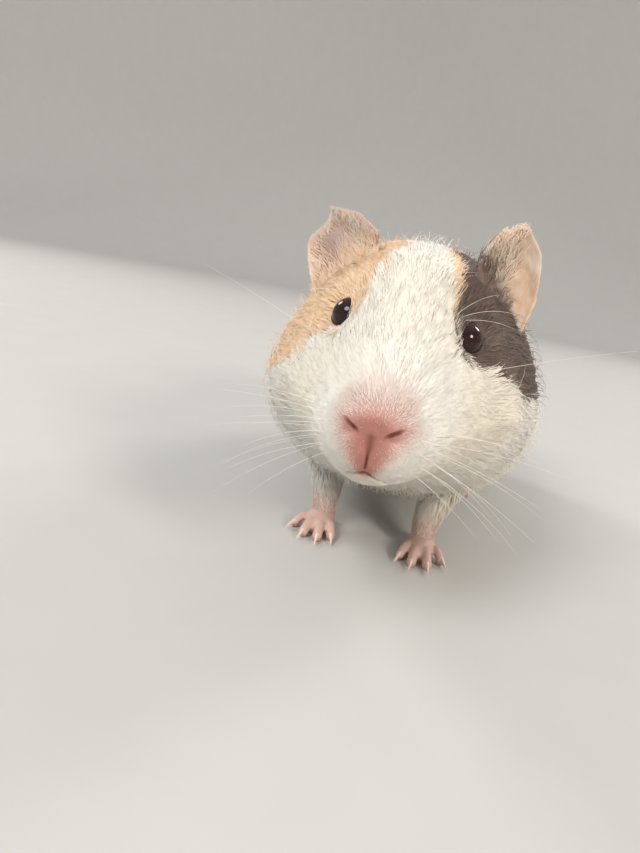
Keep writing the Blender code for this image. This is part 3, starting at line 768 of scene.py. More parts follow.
class Coat:
    """Tufts gathered for one piece: closed spikes with a three-cornered section, a flat side to
    the skin and a ridge outwards, which swell a little above the root and narrow to a point."""

    def __init__(self, name, seed):
        self.name, self.random = name, np.random.default_rng(seed)
        self.toward = np.zeros(3)
        self.points, self.faces, self.maps = [], [], []
        self.marks, self.strands, self.normals = [], [], []
        self.count = 0

    def add(self, stops, normals, width, marks, tone, place):
        """Makes tufts along stops, (stations, tufts, 3), the root first and the tip last; normals
        are the skin's there. place is where each root lies on the unwrap of the skin, 0 to 1."""
        stations, tufts = stops.shape[:2]
        share = np.linspace(0, 1, stations)
        ahead = unit(np.gradient(stops, axis=0))
        side = unit(np.cross(ahead, normals))
        out = unit(np.cross(side, ahead))
        roll = self.random.normal(0, TUFT_ROLL, tufts)[:, None]
        side, out = side * np.cos(roll) + out * np.sin(roll), out * np.cos(roll) - side * np.sin(roll)
        girth = (0.75 + 1.2 * share - 0.2 * share ** 2) * (1 - share ** 1.6)
        half = (0.5 * width * girth[:, None])[..., None]
        rings = np.stack([stops - side * half, stops + side * half, stops + out * (half * 2 * FLAT)],
                         axis=2)
        facets = np.stack([-side - 0.3 * out, side - 0.3 * out, out], axis=2)
        shaded = unit((normals[:, :, None] + self.toward) * (1 - FACET) + unit(facets) * FACET)
        tips = unit(normals[-1] + self.toward + 0.3 * ahead[-1])
        levels, each = stations - 1, 3 * stations - 2
        for kept, ring, tip in ((self.points, rings, stops[-1]), (self.normals, shaded, tips)):
            ring = ring[:-1].transpose(1, 0, 2, 3).reshape(tufts, levels * 3, 3)
            kept.append(np.concatenate([ring, tip[:, None]], axis=1).reshape(-1, 3))
        faces = [(0, 1, 2)]
        for low in range(0, 3 * levels - 3, 3):
            for a, b in CORNERS:
                faces += [(low + a, low + 3 + a, low + 3 + b), (low + a, low + 3 + b, low + b)]
        faces += [(each - 4 + a, each - 1, each - 4 + b) for a, b in CORNERS]
        index = (np.arange(tufts) * each)[:, None, None] + np.array(faces) + self.count
        self.faces.append(index.reshape(-1, 3))
        self.count += tufts * each
        along = np.concatenate([np.repeat(share[:-1], 3), [1]])
        across = np.concatenate([np.tile((0.0, 1.0, 0.5), levels), [0.5]])
        spot = np.stack([across, along], axis=-1) * PATCH - PATCH / 2
        spots = np.clip(place[:, None, :] * (1 - 2 * MAP_EDGE) + MAP_EDGE + spot[None], 0, 1)
        self.maps.append(spots.reshape(-1, 2))
        self.marks.append(np.repeat(marks, each, axis=0))
        strand = np.broadcast_arrays(along, tone[:, None], across, 1.0)
        self.strands.append(np.stack(strand, axis=-1).reshape(-1, 4))

    def piece(self):
        """The tufts as one mesh with its map, its shading and its fields."""
        faces = np.concatenate(self.faces)
        made = new_piece(self.name, np.concatenate(self.points), faces)
        spots = np.concatenate(self.maps)[faces.ravel()].astype(np.float32)
        made.data.uv_layers.new(name="OFBake").data.foreach_set("uv", spots.ravel())
        made.data.normals_split_custom_set_from_vertices(np.concatenate(self.normals).astype(np.float32))
        paint(made, markings=np.concatenate(self.marks), strand=np.concatenate(self.strands))
        return made


def grow(coat, surface, rows, keep, gap, length, width, course, marks_of, stations=3,
         lift=(0.55, 1.0), locks=3.0, pull=0.45, spread=0.16, beyond=None, contrast=1.0, tile=(0, 1)):
    """Grows tufts on rows of a surface. keep, gap, length and width are fields of its grid or
    plain numbers: the share of the tufts that grow there, and their sizes. course gives the way
    the coat lies at a point, and marks_of its markings. lift is how high the tips stand, the
    least and the most, as shares of the coat's depth. Neighbouring tufts lean together into
    locks, by their pull, turn by their spread, and differ in tone by their contrast. beyond is how
    far hair may run on past the last row. tile is which of how many equal strips of the piece's
    map this surface takes, so that surfaces that share a piece keep their colours apart."""
    random = coat.random
    first, last = rows
    gap, length, width, past = (np.broadcast_to(f, surface.depth.shape)
                                for f in (gap, length, width, 0 if beyond is None else beyond))
    crowd = (surface.areas() / np.maximum(gap, 0.05) ** 2 * keep)[first:last]
    heap = np.concatenate([[0], np.cumsum(crowd.ravel())])
    number = int(heap[-1])
    picks = (np.arange(number) + random.uniform(0, 1, number)) * heap[-1] / number
    cell = np.clip(np.searchsorted(heap, picks, side="right") - 1, 0, crowd.size - 1)
    columns = crowd.shape[1]
    row = first + cell // columns + random.uniform(0, 1, number)
    column = cell % columns + random.uniform(0, 1, number)

    long = surface.at(length, row, column)
    depth = surface.at(surface.depth, row, column)
    root = surface.at(surface.points, row, column)
    waver = ripple(root, LOCK_WAVES, 3)[:, None] * LOCK_WAVER
    patch = np.floor((root + waver) / locks).astype(np.int64)
    found, lock = np.unique(patch, axis=0, return_inverse=True)
    lock, many = lock.ravel(), len(found)
    lock_turn = random.normal(0, spread, many)
    lock_lift = random.uniform(-LOCK_LIFT, LOCK_LIFT, many)
    lock_tone = random.normal(0, LOCK_TONE, many)

    normal = surface.at(surface.normals, row, column)
    heading = course(root, surface.at(unit(surface.along), row, column), normal)
    turn = (lock_turn[lock] + random.normal(0, spread * 0.7, number))[:, None]
    heading = unit(heading * np.cos(turn) + np.cross(normal, heading) * np.sin(turn))
    slim = random.uniform(0, 1, number)
    long = long * random.uniform(0.75, 1.1, number) * (0.85 + 0.3 * slim)
    proud = random.uniform(0, 1, number) < PROUD
    raised = lift[0] + (lift[1] - lift[0]) * (0.25 + 0.75 * slim) * random.uniform(0.7, 1.0, number)
    raised = raised + lock_lift[lock] + PROUD_LIFT * proud
    thick = surface.at(width, row, column) * (1.5 - slim) * np.where(proud, PROUD_WIDTH, 1)

    best = np.ones(number)
    for side in SIDES.values():
        for share in EYE_TRIES:
            over, far = eye_angle(root + heading * (long * share)[:, None], side)
            fits = (over > EYE_CLEAR) | (far > EYE_NEAR)
            best = np.where(~fits & (best >= share), share - EYE_TRIES[-1], best)
    long = long * best

    steps = stations - 1
    stops = surface.walk(row, column, heading, long / steps, steps)
    share = np.linspace(0, 1, stations)
    rise = 1 - (1 - share) ** 2.2
    lines, ups = [], []
    past = surface.at(past, row, column)
    last_calm = len(surface.points) - (1 if beyond is None else 5)      # past it the edge is round
    for k, (r, c) in enumerate(stops):
        n = surface.at(surface.normals, np.minimum(r, last_calm), c)
        high = depth * raised * rise[k] - (0.12 * depth + 0.05) * (k == 0)      # the root is sunk
        place = surface.at(surface.points, r, c) + n * high[:, None]
        lines.append(place if beyond is None else place + surface.past_end(r, c, past))
        ups.append(n)
    lines, ups = np.stack(lines), unit(np.stack(ups))
    traced = np.linalg.norm(np.diff(lines, axis=0), axis=2).sum(axis=0)
    kept = (best > 0.12) & (traced < 1.5 * long + 1.0) & (long > SHORTEST)
    tips = np.stack([np.bincount(lock, axis, many) for axis in lines[-1].T], axis=1)
    tips = tips / np.bincount(lock, minlength=many)[:, None]
    drawn = (pull * random.uniform(0.3, 1.0, number))[None, :, None] * (share ** 1.6)[:, None, None]
    offset = (tips[lock] - lines[-1])[None]
    offset = offset - ups * np.sum(offset * ups, axis=-1, keepdims=True) * 0.7
    lines = lines + offset * drawn
    tone = lock_tone[lock] + random.normal(0, TUFT_TONE, number)
    tone = np.clip(0.5 + contrast * tone, 0, 1)
    marks = marks_of(root)
    place = np.column_stack([(tile[0] + column / columns % 1.0) / tile[1],
                             (row - first) / (last - first)])
    coat.add(lines[:, kept], ups[:, kept], thick[kept], marks[kept], tone[kept], place[kept])


def lie_of_body(points, along, normals):
    """The coat runs back from the nose, drooping over the cheeks and flanks and more and more
    over the rump. Round an eye it parts."""
    y = points[:, 1]
    droop = 0.10 + 0.30 * ease(y, -70, -20) + 1.1 * ease(y, 70, 104)
    flow = along + droop[:, None] * np.array((0, 0, -1.0))
    waver = 0.22 * ripple(points, 26.0, 21)[:, None] + 0.10 * ripple(points, 8.0, 22)[:, None]
    flow = flow + waver * np.cross(normals, along)
    for side in SIDES.values():
        centre = eye_frame(side)[0]
        toward = flat_on(unit(centre - points), normals)
        far = np.linalg.norm(points - centre, axis=1)
        near = fade(far, 6.0, 13.0)[:, None]
        into = np.maximum(dot(flow, toward), 0)[:, None]
        flow = flow - toward * into * near * 1.05
    return flat_on(flow, normals)


def lie_of_leg(points, along, normals):
    """Down the leg, and more and more back towards the body with height."""
    back = 0.25 + 1.5 * ease(points[:, 2], 14, 36)
    flow = along + back[:, None] * np.array((0, 1.0, 0))
    flow = flow + 0.12 * ripple(points, 9.0, 31)[:, None] * np.cross(normals, along)
    return flat_on(flow, normals)


def hairless(surface):
    """Where no coat grows: on the bare nose and inside the lids."""
    nose = nose_reach(*to_head(surface.points))
    keep = 0.8 * ease(nose, 0.9, 2.5) + 0.2 * (nose > 1.0)
    for side in SIDES.values():
        beyond, far = eye_angle(surface.points, side)
        keep = keep * np.where(far < 9, ease(beyond, 1.0, 3.0), 1)
    return keep


# ---------------- finishes

class Number:
    """A socket that carries a number, so that shader maths reads as an expression."""

    def __init__(self, finish, socket):
        self.finish, self.socket = finish, socket

    def maths(self, operation, a, b):
        """A Math node on two numbers or sockets."""
        out = self.finish.node("ShaderNodeMath", {"operation": operation}, {0: a, 1: b})
        return Number(self.finish, out["Value"])

    def __add__(self, other):
        return self.maths("ADD", self, other)

    def __mul__(self, other):
        return self.maths("MULTIPLY", self, other)

    def __pow__(self, other):
        return self.maths("POWER", self, other)

    def __rsub__(self, other):
        return self.maths("SUBTRACT", other, self)

    __radd__, __rmul__ = __add__, __mul__


class Finish:
    """A material's nodes and its shader."""

    def __init__(self, name, **constants):
        self.material = bpy.data.materials.new(name)
        self.material.use_nodes = True
        self.tree = self.material.node_tree
        self.shader = self.tree.nodes["Principled BSDF"]
        self.give(**constants)

    def node(self, kind, settings, inputs):
        """Adds a node: its settings first, then the values or links of its sockets. Gives its
        outputs."""
        node = self.tree.nodes.new(kind)
        for key, value in settings.items():
            setattr(node, key, value)
        for key, value in inputs.items():
            self.set(node.inputs[key], value)
        return node.outputs

    def set(self, socket, value):
        """Links a socket or gives it its value."""
        if isinstance(value, Number):
            value = value.socket
        if isinstance(value, bpy.types.NodeSocket):
            self.tree.links.new(value, socket)
        elif socket.type == "RGBA":
            socket.default_value = (*value, 1)
        else:
            socket.default_value = value

    def give(self, **sockets):
        """Sets or links the shader's own sockets, and gives the material."""
        for name, value in sockets.items():
            self.set(self.shader.inputs[name.replace("_", " ")], value)
        return self.material

    def blend(self, share, first, second):
        """A colour between two."""
        return self.node("ShaderNodeMix", {"data_type": "RGBA"}, {0: share, 6: first, 7: second})[2]

    def field(self, name):
        """A piece's own field as its four numbers."""
        out = self.node("ShaderNodeAttribute", {"attribute_name": name}, {})
        parts = self.node("ShaderNodeSeparateColor", {}, {"Color": out["Color"]})
        sockets = parts["Red"], parts["Green"], parts["Blue"], out["Alpha"]
        return [Number(self, socket) for socket in sockets]

    def noise(self, scale, detail=2.0, stretch=(1, 1, 1)):
        """Noise over the object's own coordinates, whose size in metres is about one over scale."""
        place = self.node("ShaderNodeTexCoord", {}, {})["Object"]
        mapped = self.node("ShaderNodeMapping", {}, {"Vector": place, "Scale": stretch})["Vector"]
        out = self.node("ShaderNodeTexNoise", {}, {"Vector": mapped, "Scale": scale, "Detail": detail})
        return Number(self, out["Fac"])

    def bump(self, height, strength, distance):
        """Roughens the shading by a height, over a distance in metres."""
        out = self.node("ShaderNodeBump", {}, {"Height": height, "Strength": strength,
                                               "Distance": distance})
        self.give(Normal=out["Normal"])


# Colours of the hair, the skin and the rest. Of two for one thing, the hair's colour runs from the
# first to the second by its tone and by painted shade that darkens it towards its root; the others
# run by their grain.
WHITE, CREAM = (0.88, 0.87, 0.83), (0.87, 0.80, 0.66)
TAN, SLATE = ((0.72, 0.43, 0.23), (0.96, 0.71, 0.48)), ((0.040, 0.024, 0.018), (0.225, 0.135, 0.102))
PINK_HAIR, ROOT_SHADE = (0.77, 0.48, 0.41), (0.42, 0.32, 0.25)
SKIN_WHITE, SKIN_CREAM, SKIN_TAN = (0.86, 0.80, 0.74), (0.85, 0.77, 0.66), (0.62, 0.40, 0.24)
SKIN_SLATE, SKIN_EAR = (0.10, 0.080, 0.070), (0.86, 0.72, 0.73)
BARE, BARE_ROSY = ((0.47, 0.235, 0.195), (0.40, 0.185, 0.150)), (0.36, 0.140, 0.110)
# The second colour here is painted deep red shade for the nose's hollows and the ears' hollows.
LID, HOLLOW_SHADE = (0.028, 0.015, 0.013), (0.175, 0.048, 0.036)
IRIS = (0.014, 0.006, 0.006), (0.034, 0.013, 0.011)
HORN = (0.82, 0.66, 0.56), (0.72, 0.50, 0.42)
WHISKER = (0.90, 0.86, 0.78), (0.80, 0.72, 0.60)
FLOOR = (0.50, 0.49, 0.475), (0.53, 0.52, 0.505)


def coat_finish():
    """Hair: the patch's colour, with painted shade that makes it darker and warmer at the root and
    paler at the tip, and lighter or darker from tuft to tuft."""
    f = Finish("coat", Roughness=0.60, Specular_IOR_Level=0.25, Sheen_Weight=0.10,
               Sheen_Roughness=0.5)
    tan, slate, pink, cream = f.field("markings")
    along, tone, _, _ = f.field("strand")
    # light mixes each tuft's own tone with painted shade that darkens the hair towards its root.
    light = tone * 0.7 + 0.3 * along
    colour = f.blend(tan, f.blend(cream, WHITE, CREAM), f.blend(light, *TAN))
    colour = f.blend(slate, colour, f.blend(light ** 2.0, *SLATE))
    colour = f.blend(pink * (1 - along * 0.50) * 0.85, colour, PINK_HAIR)
    # root is painted shade at the hair's root, with a little darkening from tuft to tuft by tone.
    root = (1 - along) ** 2.0 * 0.10 + (1 - tone) * 0.05
    return f.give(Base_Color=f.blend(root, colour, ROOT_SHADE))


def skin_finish():
    """Skin: pink where it is bare and the patch's colour where it lies under the coat, with soft
    blotches, fine pores, dark lids, and painted deep red shade in the nostrils, the groove below the
    nose, the mouth and the ears' hollows."""
    f = Finish("skin", Roughness=0.5, Specular_IOR_Level=0.35, Subsurface_Weight=0.0)
    tan, slate, pink, cream = f.field("markings")
    lid, deep, rosy, inner = f.field("details")
    blotch = f.noise(260.0, 3.0)
    colour = f.blend(cream, SKIN_WHITE, SKIN_CREAM)
    bare = f.blend(rosy * 0.7, f.blend(blotch, *BARE), BARE_ROSY)
    for share, tint in ((tan, SKIN_TAN), (slate, SKIN_SLATE), (inner, SKIN_EAR), (pink, bare),
                        (lid, LID), (deep, HOLLOW_SHADE)):
        colour = f.blend(share, colour, tint)
    f.bump(f.noise(2400.0), 0.35, 0.00012)
    return f.give(Base_Color=colour, Roughness=0.42 + 0.2 * blotch + 0.3 * tan)


def eye_finish():
    """A wet dark eye, nearly black, clouded with deep brown."""
    f = Finish("eye", Roughness=0.05, IOR=1.36)
    return f.give(Base_Color=f.blend(f.noise(500.0, 3.0), *IRIS))


def claw_finish():
    """Pale horn with pinker streaks along it."""
    f = Finish("horn", Roughness=0.32, Specular_IOR_Level=0.5)
    streak = f.noise(900.0, 2.0, (1, 0.25, 1))
    return f.give(Base_Color=f.blend(streak, *HORN), Roughness=0.28 + 0.14 * streak)


def whisker_finish():
    """Pale horn-like hair."""
    f = Finish("whisker", Roughness=0.35, Specular_IOR_Level=0.5)
    return f.give(Base_Color=f.blend(f.noise(300.0), *WHISKER))


def floor_finish():
    """Pale matt paint with a faint grain."""
    f = Finish("floor", Roughness=0.8, Specular_IOR_Level=0.2)
    return f.give(Base_Color=f.blend(f.noise(40.0, 3.0), *FLOOR))


# ---------------- pieces

RIGHT_EAR_OPEN = (0.68, 0.53)      # middle of the right ear's bare skin: up it, and down its edge


def make_skin(body, legs, ears):
    """Body, ears, legs, feet and lids joined into one skin. Its fields are the markings and the
    details: the lids, the painted shade in the nostrils, the groove, the mouth and the ears'
    hollows, the rosy nose and the bare skin of the ears."""
    skin = closed_piece("skin", body.points)
    parts = [closed_piece("ear", ear.points, sheet=True) for ear in ears.values()]
    parts += [closed_piece("leg", leg.points) for leg in legs.values()]
    parts += [foot_piece(part, side) for part in FEET for side in SIDES.values()]
    parts += [lid_piece(side) for side in SIDES.values()]
    join_into(skin, parts)
    points = points_of(skin)
    front = ease(-read(skin.data.vertex_normals, "vector")[:, 1], 0.0, 0.35)
    marks = markings(points)
    x, forward, up = to_head(points)
    ear_marks = markings(points, "ear")
    lid, bare, warm = np.zeros((3, len(points)))
    for side, ear in ears.items():
        share, v, u = on_ear(points, ear).T
        marks += (ear_marks - marks) * share[:, None]
        marks[:, 2] *= 1 - 0.85 * share
        # Painted shade in the front of each ear's hollow: hollow spreads it and warm carries it.
        if side < 0:
            open_skin = 0.40 + 0.58 * mound(v, u, RIGHT_EAR_OPEN, (0.28, 0.17))
            hollow = mound(v, u, (0.50, 0.78), (0.25, 0.20))
        else:
            open_skin = 0.08
            hollow = fade(u, 0.36, 0.56) * ease(v, 0.1, 0.3) * (1 - 0.6 * ease(v, 0.6, 0.9))
        bare = np.maximum(bare, share * front * open_skin)
        warm = np.maximum(warm, share * front * hollow)
    marks[:, 2] = np.maximum(marks[:, 2], 0.70 * fade(points[:, 2], 8, 15))
    for side in SIDES.values():
        beyond, far = eye_angle(points, side)
        lid = np.maximum(lid, fade(beyond, 0.5, 4) * fade(far, 6.4, 8.0))
    rosy = fade(nose_reach(x, forward, up), 0.3, 1.0)
    # deep is painted shade: in the nostrils, the groove and the mouth, and in the ears' hollows.
    deep = nostril_shade(x, forward, up) + 0.48 * warm
    paint(skin, markings=marks, details=np.stack([lid, deep, rosy, bare], axis=-1))
    skin.data.polygons.foreach_set("use_smooth", np.ones(len(skin.data.polygons), bool))
    skin.data.update()
    return skin


def nostril_shade(x, forward, up):
    """Painted shade: 1 inside a nostril, and a little less along the groove and the mouth."""
    ax = np.abs(x)
    slit = 0.85 * fade(nostril_slit(ax, up), 0.0, 2.3)
    fold = groove(x, up, (0.50, -23.5, -21.0), (-27.6, -26.0), (-19.4, -17.4))
    fold = (0.45 + 0.27 * ease(up, -23.5, -21.0)) * fold
    lips = 0.6 * np.exp(-(above_mouth(ax, up) / 0.35) ** 2) * fade(ax, 1.5, 5.0)
    return np.maximum(np.maximum(slit, fold), lips) * ease(forward, 20, 26)


def nearest(points, targets):
    """The nearest target to each point, and how far it is."""
    square = (points ** 2).sum(axis=1)[:, None] + (targets ** 2).sum(axis=1) - 2 * points @ targets.T
    index = square.argmin(axis=1)
    return index, np.sqrt(np.maximum(square[np.arange(len(points)), index], 0))


def on_ear(points, ear):
    """1 on an ear and 0 on the head, and for points on it how far they are from its root to its
    edge and how far down it."""
    rows, columns = ear.points.shape[:2]
    low, high = ear.points.min(axis=(0, 1)) - 1, ear.points.max(axis=(0, 1)) + 1
    inside = np.flatnonzero(np.all((points > low) & (points < high), axis=1))
    index, far = nearest(points[inside], ear.points[::2].reshape(-1, 3))
    row, column = np.divmod(index, columns)
    v = row * 2 / (rows - 1) * (1 + EAR_SUNK) - EAR_SUNK
    u = 1 - np.abs(1 - column / (columns / 2))
    found = np.zeros((len(points), 3))
    found[inside] = np.column_stack([fade(far, 1.0, 1.7) * ease(v, 0.0, 0.12), v, u])
    return found


def make_eye(side_name, side):
    """An eyeball whose clear front swells a little: a sphere of rings round the eye's axis."""
    centre, axis, level, up = eye_frame(side)
    angle = np.linspace(0.01, math.pi - 0.01, 40)[:, None, None]
    radius = EYE_RADIUS + 0.30 * np.exp(-(angle / 0.75) ** 2)
    points = centre + radius * (np.cos(angle) * axis + np.sin(angle) * circle(56, level, up))
    return closed_piece(f"eyeball_{side_name}", points if side < 0 else points[:, ::-1])


def claw_points(tip, heading, radius, side):
    """A claw: a curved cone, taller than wide, that leaves the top of the toe and bends down."""
    t = np.linspace(0, 1, 16)
    start = tip + heading * radius * 0.10 + (0, 0, radius * 0.30)
    centre = start + heading * (CLAW_LENGTH + 0.35 * radius) * t[:, None]
    centre[:, 2] = start[2] + (CLAW_LOWEST + 0.15 - start[2]) * t ** 1.8
    size = CLAW_RADIUS * (1 - 0.86 * t ** 1.3)
    ring = circle(14, np.cross(heading, (0, 0, 1.0)) * 0.72, np.array((0, 0, 1.0)))
    return one_sided(centre[:, None] + size[:, None, None] * ring, side)


def make_whiskers():
    """Whiskers: thin tapering stalks along curves that leave the muzzle sideways and bend back
    and down, with a few over each eye."""
    random = np.random.default_rng(41)
    table = []

    def whisker(side, place, aim, length, sag):
        """Notes a whisker's place, its aim, its length and its sag as a share of that."""
        mirror = (side, 1, 1)
        table.append((*in_head(place) * mirror, *turned_to_head(aim) * mirror, length, sag))

    for side in SIDES.values():
        for row in range(4):
            for k in range(3):
                place = (8.4 + 2.3 * k + 0.5 * row, 28.0 - 4.6 * k, -19.0 - 2.6 * row - 0.4 * k)
                aim = (1.0, 0.30 - 0.22 * k + random.normal(0, 0.1),
                       0.20 - 0.20 * row + random.normal(0, 0.08))
                whisker(side, place, aim, random.uniform(15, 26) + 5.0 * k, random.uniform(0.15, 0.45))
        for k in range(3):
            place = (11.5 + 1.2 * k, 3.0 - 0.6 * k, 5.0 - 0.6 * k)
            aim = (0.55 + 0.2 * k, 0.35, 0.75 - 0.2 * k)
            whisker(side, place, aim, random.uniform(13, 19), random.uniform(0.25, 0.45))
        whisker(side, (21.0, -1.0, -8.6), (0.87, 0.22, 0.45), 36.0, 0.06)

    starts, aims, lengths, sags = np.split(np.array(table), (3, 6, 7), axis=1)
    t = np.linspace(0, 1, 12)[:, None, None]
    centre = starts + aims * lengths * t + np.array(WHISKER_SAG) * lengths * sags * t ** 2
    ahead = unit(np.gradient(centre, axis=0))
    side = unit(np.cross(ahead, (0, 0, 1.0)))
    out = np.cross(side, ahead)
    radius = WHISKER_RADIUS * (1 - 0.75 * t)
    points = centre[:, :, None] + radius[..., None] * circle(5, side[:, :, None], out[:, :, None])
    rows, many, round_it = points.shape[:3]
    grid = np.arange(rows * round_it).reshape(rows, round_it)
    ends = np.array([(0, 1, 2), (0, 2, 3), (0, 3, 4)])
    faces = np.concatenate([halved(walls(grid)), ends, ends[:, ::-1] + grid[-1, 0]])
    index = (np.arange(many) * grid.size)[:, None, None] + faces
    return new_piece("whiskers", points.transpose(1, 0, 2, 3).reshape(-1, 3), index.reshape(-1, 3))


# ---------------- the coat's pieces

MOST_TUFTS = 18300         # in one piece, to keep it under its number of triangles


def lengths_of(heap, first, last):
    """Cuts rows into as few lengths as keep each under the most tufts. heap is how many tufts
    the rows down to each one hold."""
    base = heap[first - 1] if first else 0
    total = heap[last - 1] - base
    cuts = max(1, math.ceil(total / MOST_TUFTS))
    stops = [int(np.searchsorted(heap, base + total * k / cuts)) for k in range(1, cuts)]
    return zip([first, *stops], [*stops, last])


def body_coats(body, fields):
    """The coat of the head and of the trunk in lengths, the guard hairs that stand over it, and
    the down on the nose."""
    keep = hairless(body)
    x, forward, up = to_head(body.points)
    ax, facing_up = np.abs(x), body.normals[..., 2]
    length, width, gap = fields["length"], fields["width"], fields["gap"]
    nose = nose_reach(x, forward, up)
    length = length * (0.35 + 0.65 * ease(nose, 1.0, 3.2))
    for side in SIDES.values():
        far = np.linalg.norm(body.points - eye_frame(side)[0], axis=-1)
        length = length * (0.36 + 0.64 * ease(far, 6.0, 12.5))
    under = ease(-facing_up, 0.3, 0.9) * ease(body.points[..., 1], -70, -40)
    gap = gap * (1 + 0.35 * under)
    heap = np.cumsum((body.areas() * keep / gap ** 2).sum(axis=1))
    head_end, body_end = int(np.searchsorted(-forward[:, 0], 26.0)), len(body.points) - 1
    head = {"locks": 1.5, "pull": 0.35, "spread": 0.11, "lift": (0.36, 0.66)}
    trunk = {"pull": 0.30, "spread": 0.09, "contrast": 0.75, "lift": (0.5, 0.85)}
    pieces = []
    for name, first, last, how in (("head", 0, head_end, head), ("trunk", head_end, body_end, trunk)):
        for n, rows in enumerate(lengths_of(heap, first, last), 1):
            coat = Coat(f"coat_{name}_{n}", 100 + len(pieces))
            grow(coat, body, rows, keep, gap, length, width, lie_of_body, markings, **how)
            pieces.append(coat.piece())

    guard = Coat("coat_guard", 299)
    loose = ease(-forward, -22, 4) * (0.35 + 0.65 * ease(facing_up, 0.5, -0.3))
    taller = Surface(body.points, 0.6 + 0.85 * body.depth - 0.02 * body.depth ** 2)
    grow(guard, taller, (10, body_end), keep * loose, 1.8, length * 1.1, width * 0.40, lie_of_body,
         markings, stations=4, locks=1.0, pull=0.1, lift=(0.9, 1.8), spread=0.28)

    down = Coat("coat_fuzz", 300)
    fine = (0.10 + 0.90 * ease(nose, 0.5, 1.15)) * fade(nose, 2.2, 3.2) * (forward > 20)
    fine = fine * ease(nostril_slit(ax, up), 2.0, 3.2)
    fine = fine * (1 - ease(-ax, -1.3, -0.8) * (up < -17.5) * (up > -27.0))
    grow(down, body, (4, head_end), fine, 0.34, 1.0, 0.060, lie_of_body, markings, locks=0.5,
         pull=0.1, lift=(0.5, 1.4), spread=0.3)
    return [*pieces, guard.piece(), down.piece()]


def leg_coat(legs):
    """The hair of the legs, longer with height and thinned out between the hind legs."""
    coat = Coat("coat_legs", 301)
    for k, ((part, side), leg) in enumerate(legs.items()):
        height = leg.points[..., 2]
        furry = ease(height, 4, 11) * fade(height, 40, 44)
        outer = ease(leg.normals[..., 0] * side, -0.3, 0.2)
        furry = furry * (1 - (1 - outer) * ease(height, 26, 32) * (part == "hind"))
        grow(coat, leg, (6, len(leg.points) - 1), furry, 0.45 + 0.40 * ease(height, 8, 30),
             2.0 + 9.0 * ease(height, 8, 30), 0.22 + 0.30 * ease(height, 10, 32), lie_of_leg,
             lambda points: markings(points, "leg"), locks=2.6, pull=0.4, tile=(k, len(legs)))
    return coat.piece()


def ear_coat(ears):
    """The short hair of the ears, thin or missing where their skin is bare, and the long tufts
    that stand out of the left one. v runs from an ear's root to its edge and u down its edge."""
    coat = Coat("coat_ears", 302)
    coat.toward = np.array((-0.7, -1.1, 1.0))
    how = {"course": lambda points, along, normals: flat_on(along, normals),
           "marks_of": lambda points: markings(points, "ear")}
    for k, (side, ear) in enumerate(ears.items()):
        rows, columns = ear.points.shape[:2]
        v, u = np.meshgrid(np.linspace(-EAR_SUNK, 1, rows), 1 - np.abs(np.linspace(-1, 1, columns)),
                           indexing="ij")
        facing = (np.arange(columns) >= columns // 2) == (side > 0)
        where = {"rows": (3, rows - 1), "tile": (k, len(ears)), **how}
        if side > 0:
            furred = fade(u + 0.14 * ease(v, 0.3, 0.9), 0.40, 0.54)
            rim, lift = 0, (0.6, 2.2)
        else:
            furred = 1 - 1.1 * mound(v, u, RIGHT_EAR_OPEN, (0.24, 0.17))
            furred = np.maximum(furred, 0) * (1 - 0.45 * (u > 0.6) * (v > 0.25))
            rim, lift = ease(v, 0.84, 0.95), (0.5, 1.4)
        front = 0.75 * furred + 0.9 * fade(v, 0.08, 0.26) + 2.2 * rim
        grow(coat, ear, keep=np.where(facing, front, fade(v, 0.80, 0.90)), gap=0.40,
             length=np.where(facing, 3.0 - 0.8 * rim, 2.6), width=0.31 - 0.12 * rim,
             beyond=np.where(facing, 0.7 + 0.6 * rim, 0.0), locks=1.0, pull=0.45, lift=lift,
             spread=0.26, contrast=1.1, **where)
        if side > 0:
            ridge = fade(u, 0.28, 0.40) * ease(v, 0.55, 0.80)
            fringe = fade(u, 0.36, 0.47) * ease(v, 0.10, 0.25) * (0.5 + 0.5 * ridge)
            grow(coat, ear, keep=np.where(facing, fringe + 1.2 * ridge, 0), gap=0.62,
                 length=5.0 - 1.2 * ridge, width=0.36, beyond=np.where(u < 0.37, 2.8, 0.0),
                 stations=4, locks=1.3, pull=0.75, lift=(1.5, 5.0), spread=0.42, contrast=2.0, **where)
    return coat.piece()


# ---------------- camera, light and floor

CAMERA_AZIMUTH, CAMERA_HEIGHT, CAMERA_ROLL = 4.0, 4.0, 12.0     # degrees
CAMERA_DISTANCE, CAMERA_LENS = 0.164, 27.22
CAMERA_AIM = (0.1341, 0.1612)   # where the eyes sit right of and above the middle, as tangents

Lamp = namedtuple("Lamp", "name place aim size watts colour")
LAMPS = [Lamp(*row) for row in (
    ("key", (-0.75, -1.20, 1.30), (0, -0.05, 0.06), 0.80, 20.5, (0.98, 0.99, 0.985)),
    ("fill", (1.15, -1.00, 0.85), (0, -0.05, 0.06), 0.45, 14.5, (1.0, 0.93, 0.84)),
    ("back", (0.80, 1.00, 0.95), (0, 0.0, 0.06), 0.45, 7.5, (1.0, 0.97, 0.94)),
    ("side", (-1.05, 0.55, 0.85), (0, -0.05, 0.06), 0.40, 6.0, (1.0, 0.98, 0.95)),
)]
ROOM_LIGHT, ROOM_STRENGTH = 0.985, 0.70
FLOOR_FLAT, FLOOR_BEND, WALL_HEIGHT = 1500.0, 500.0, 1800.0


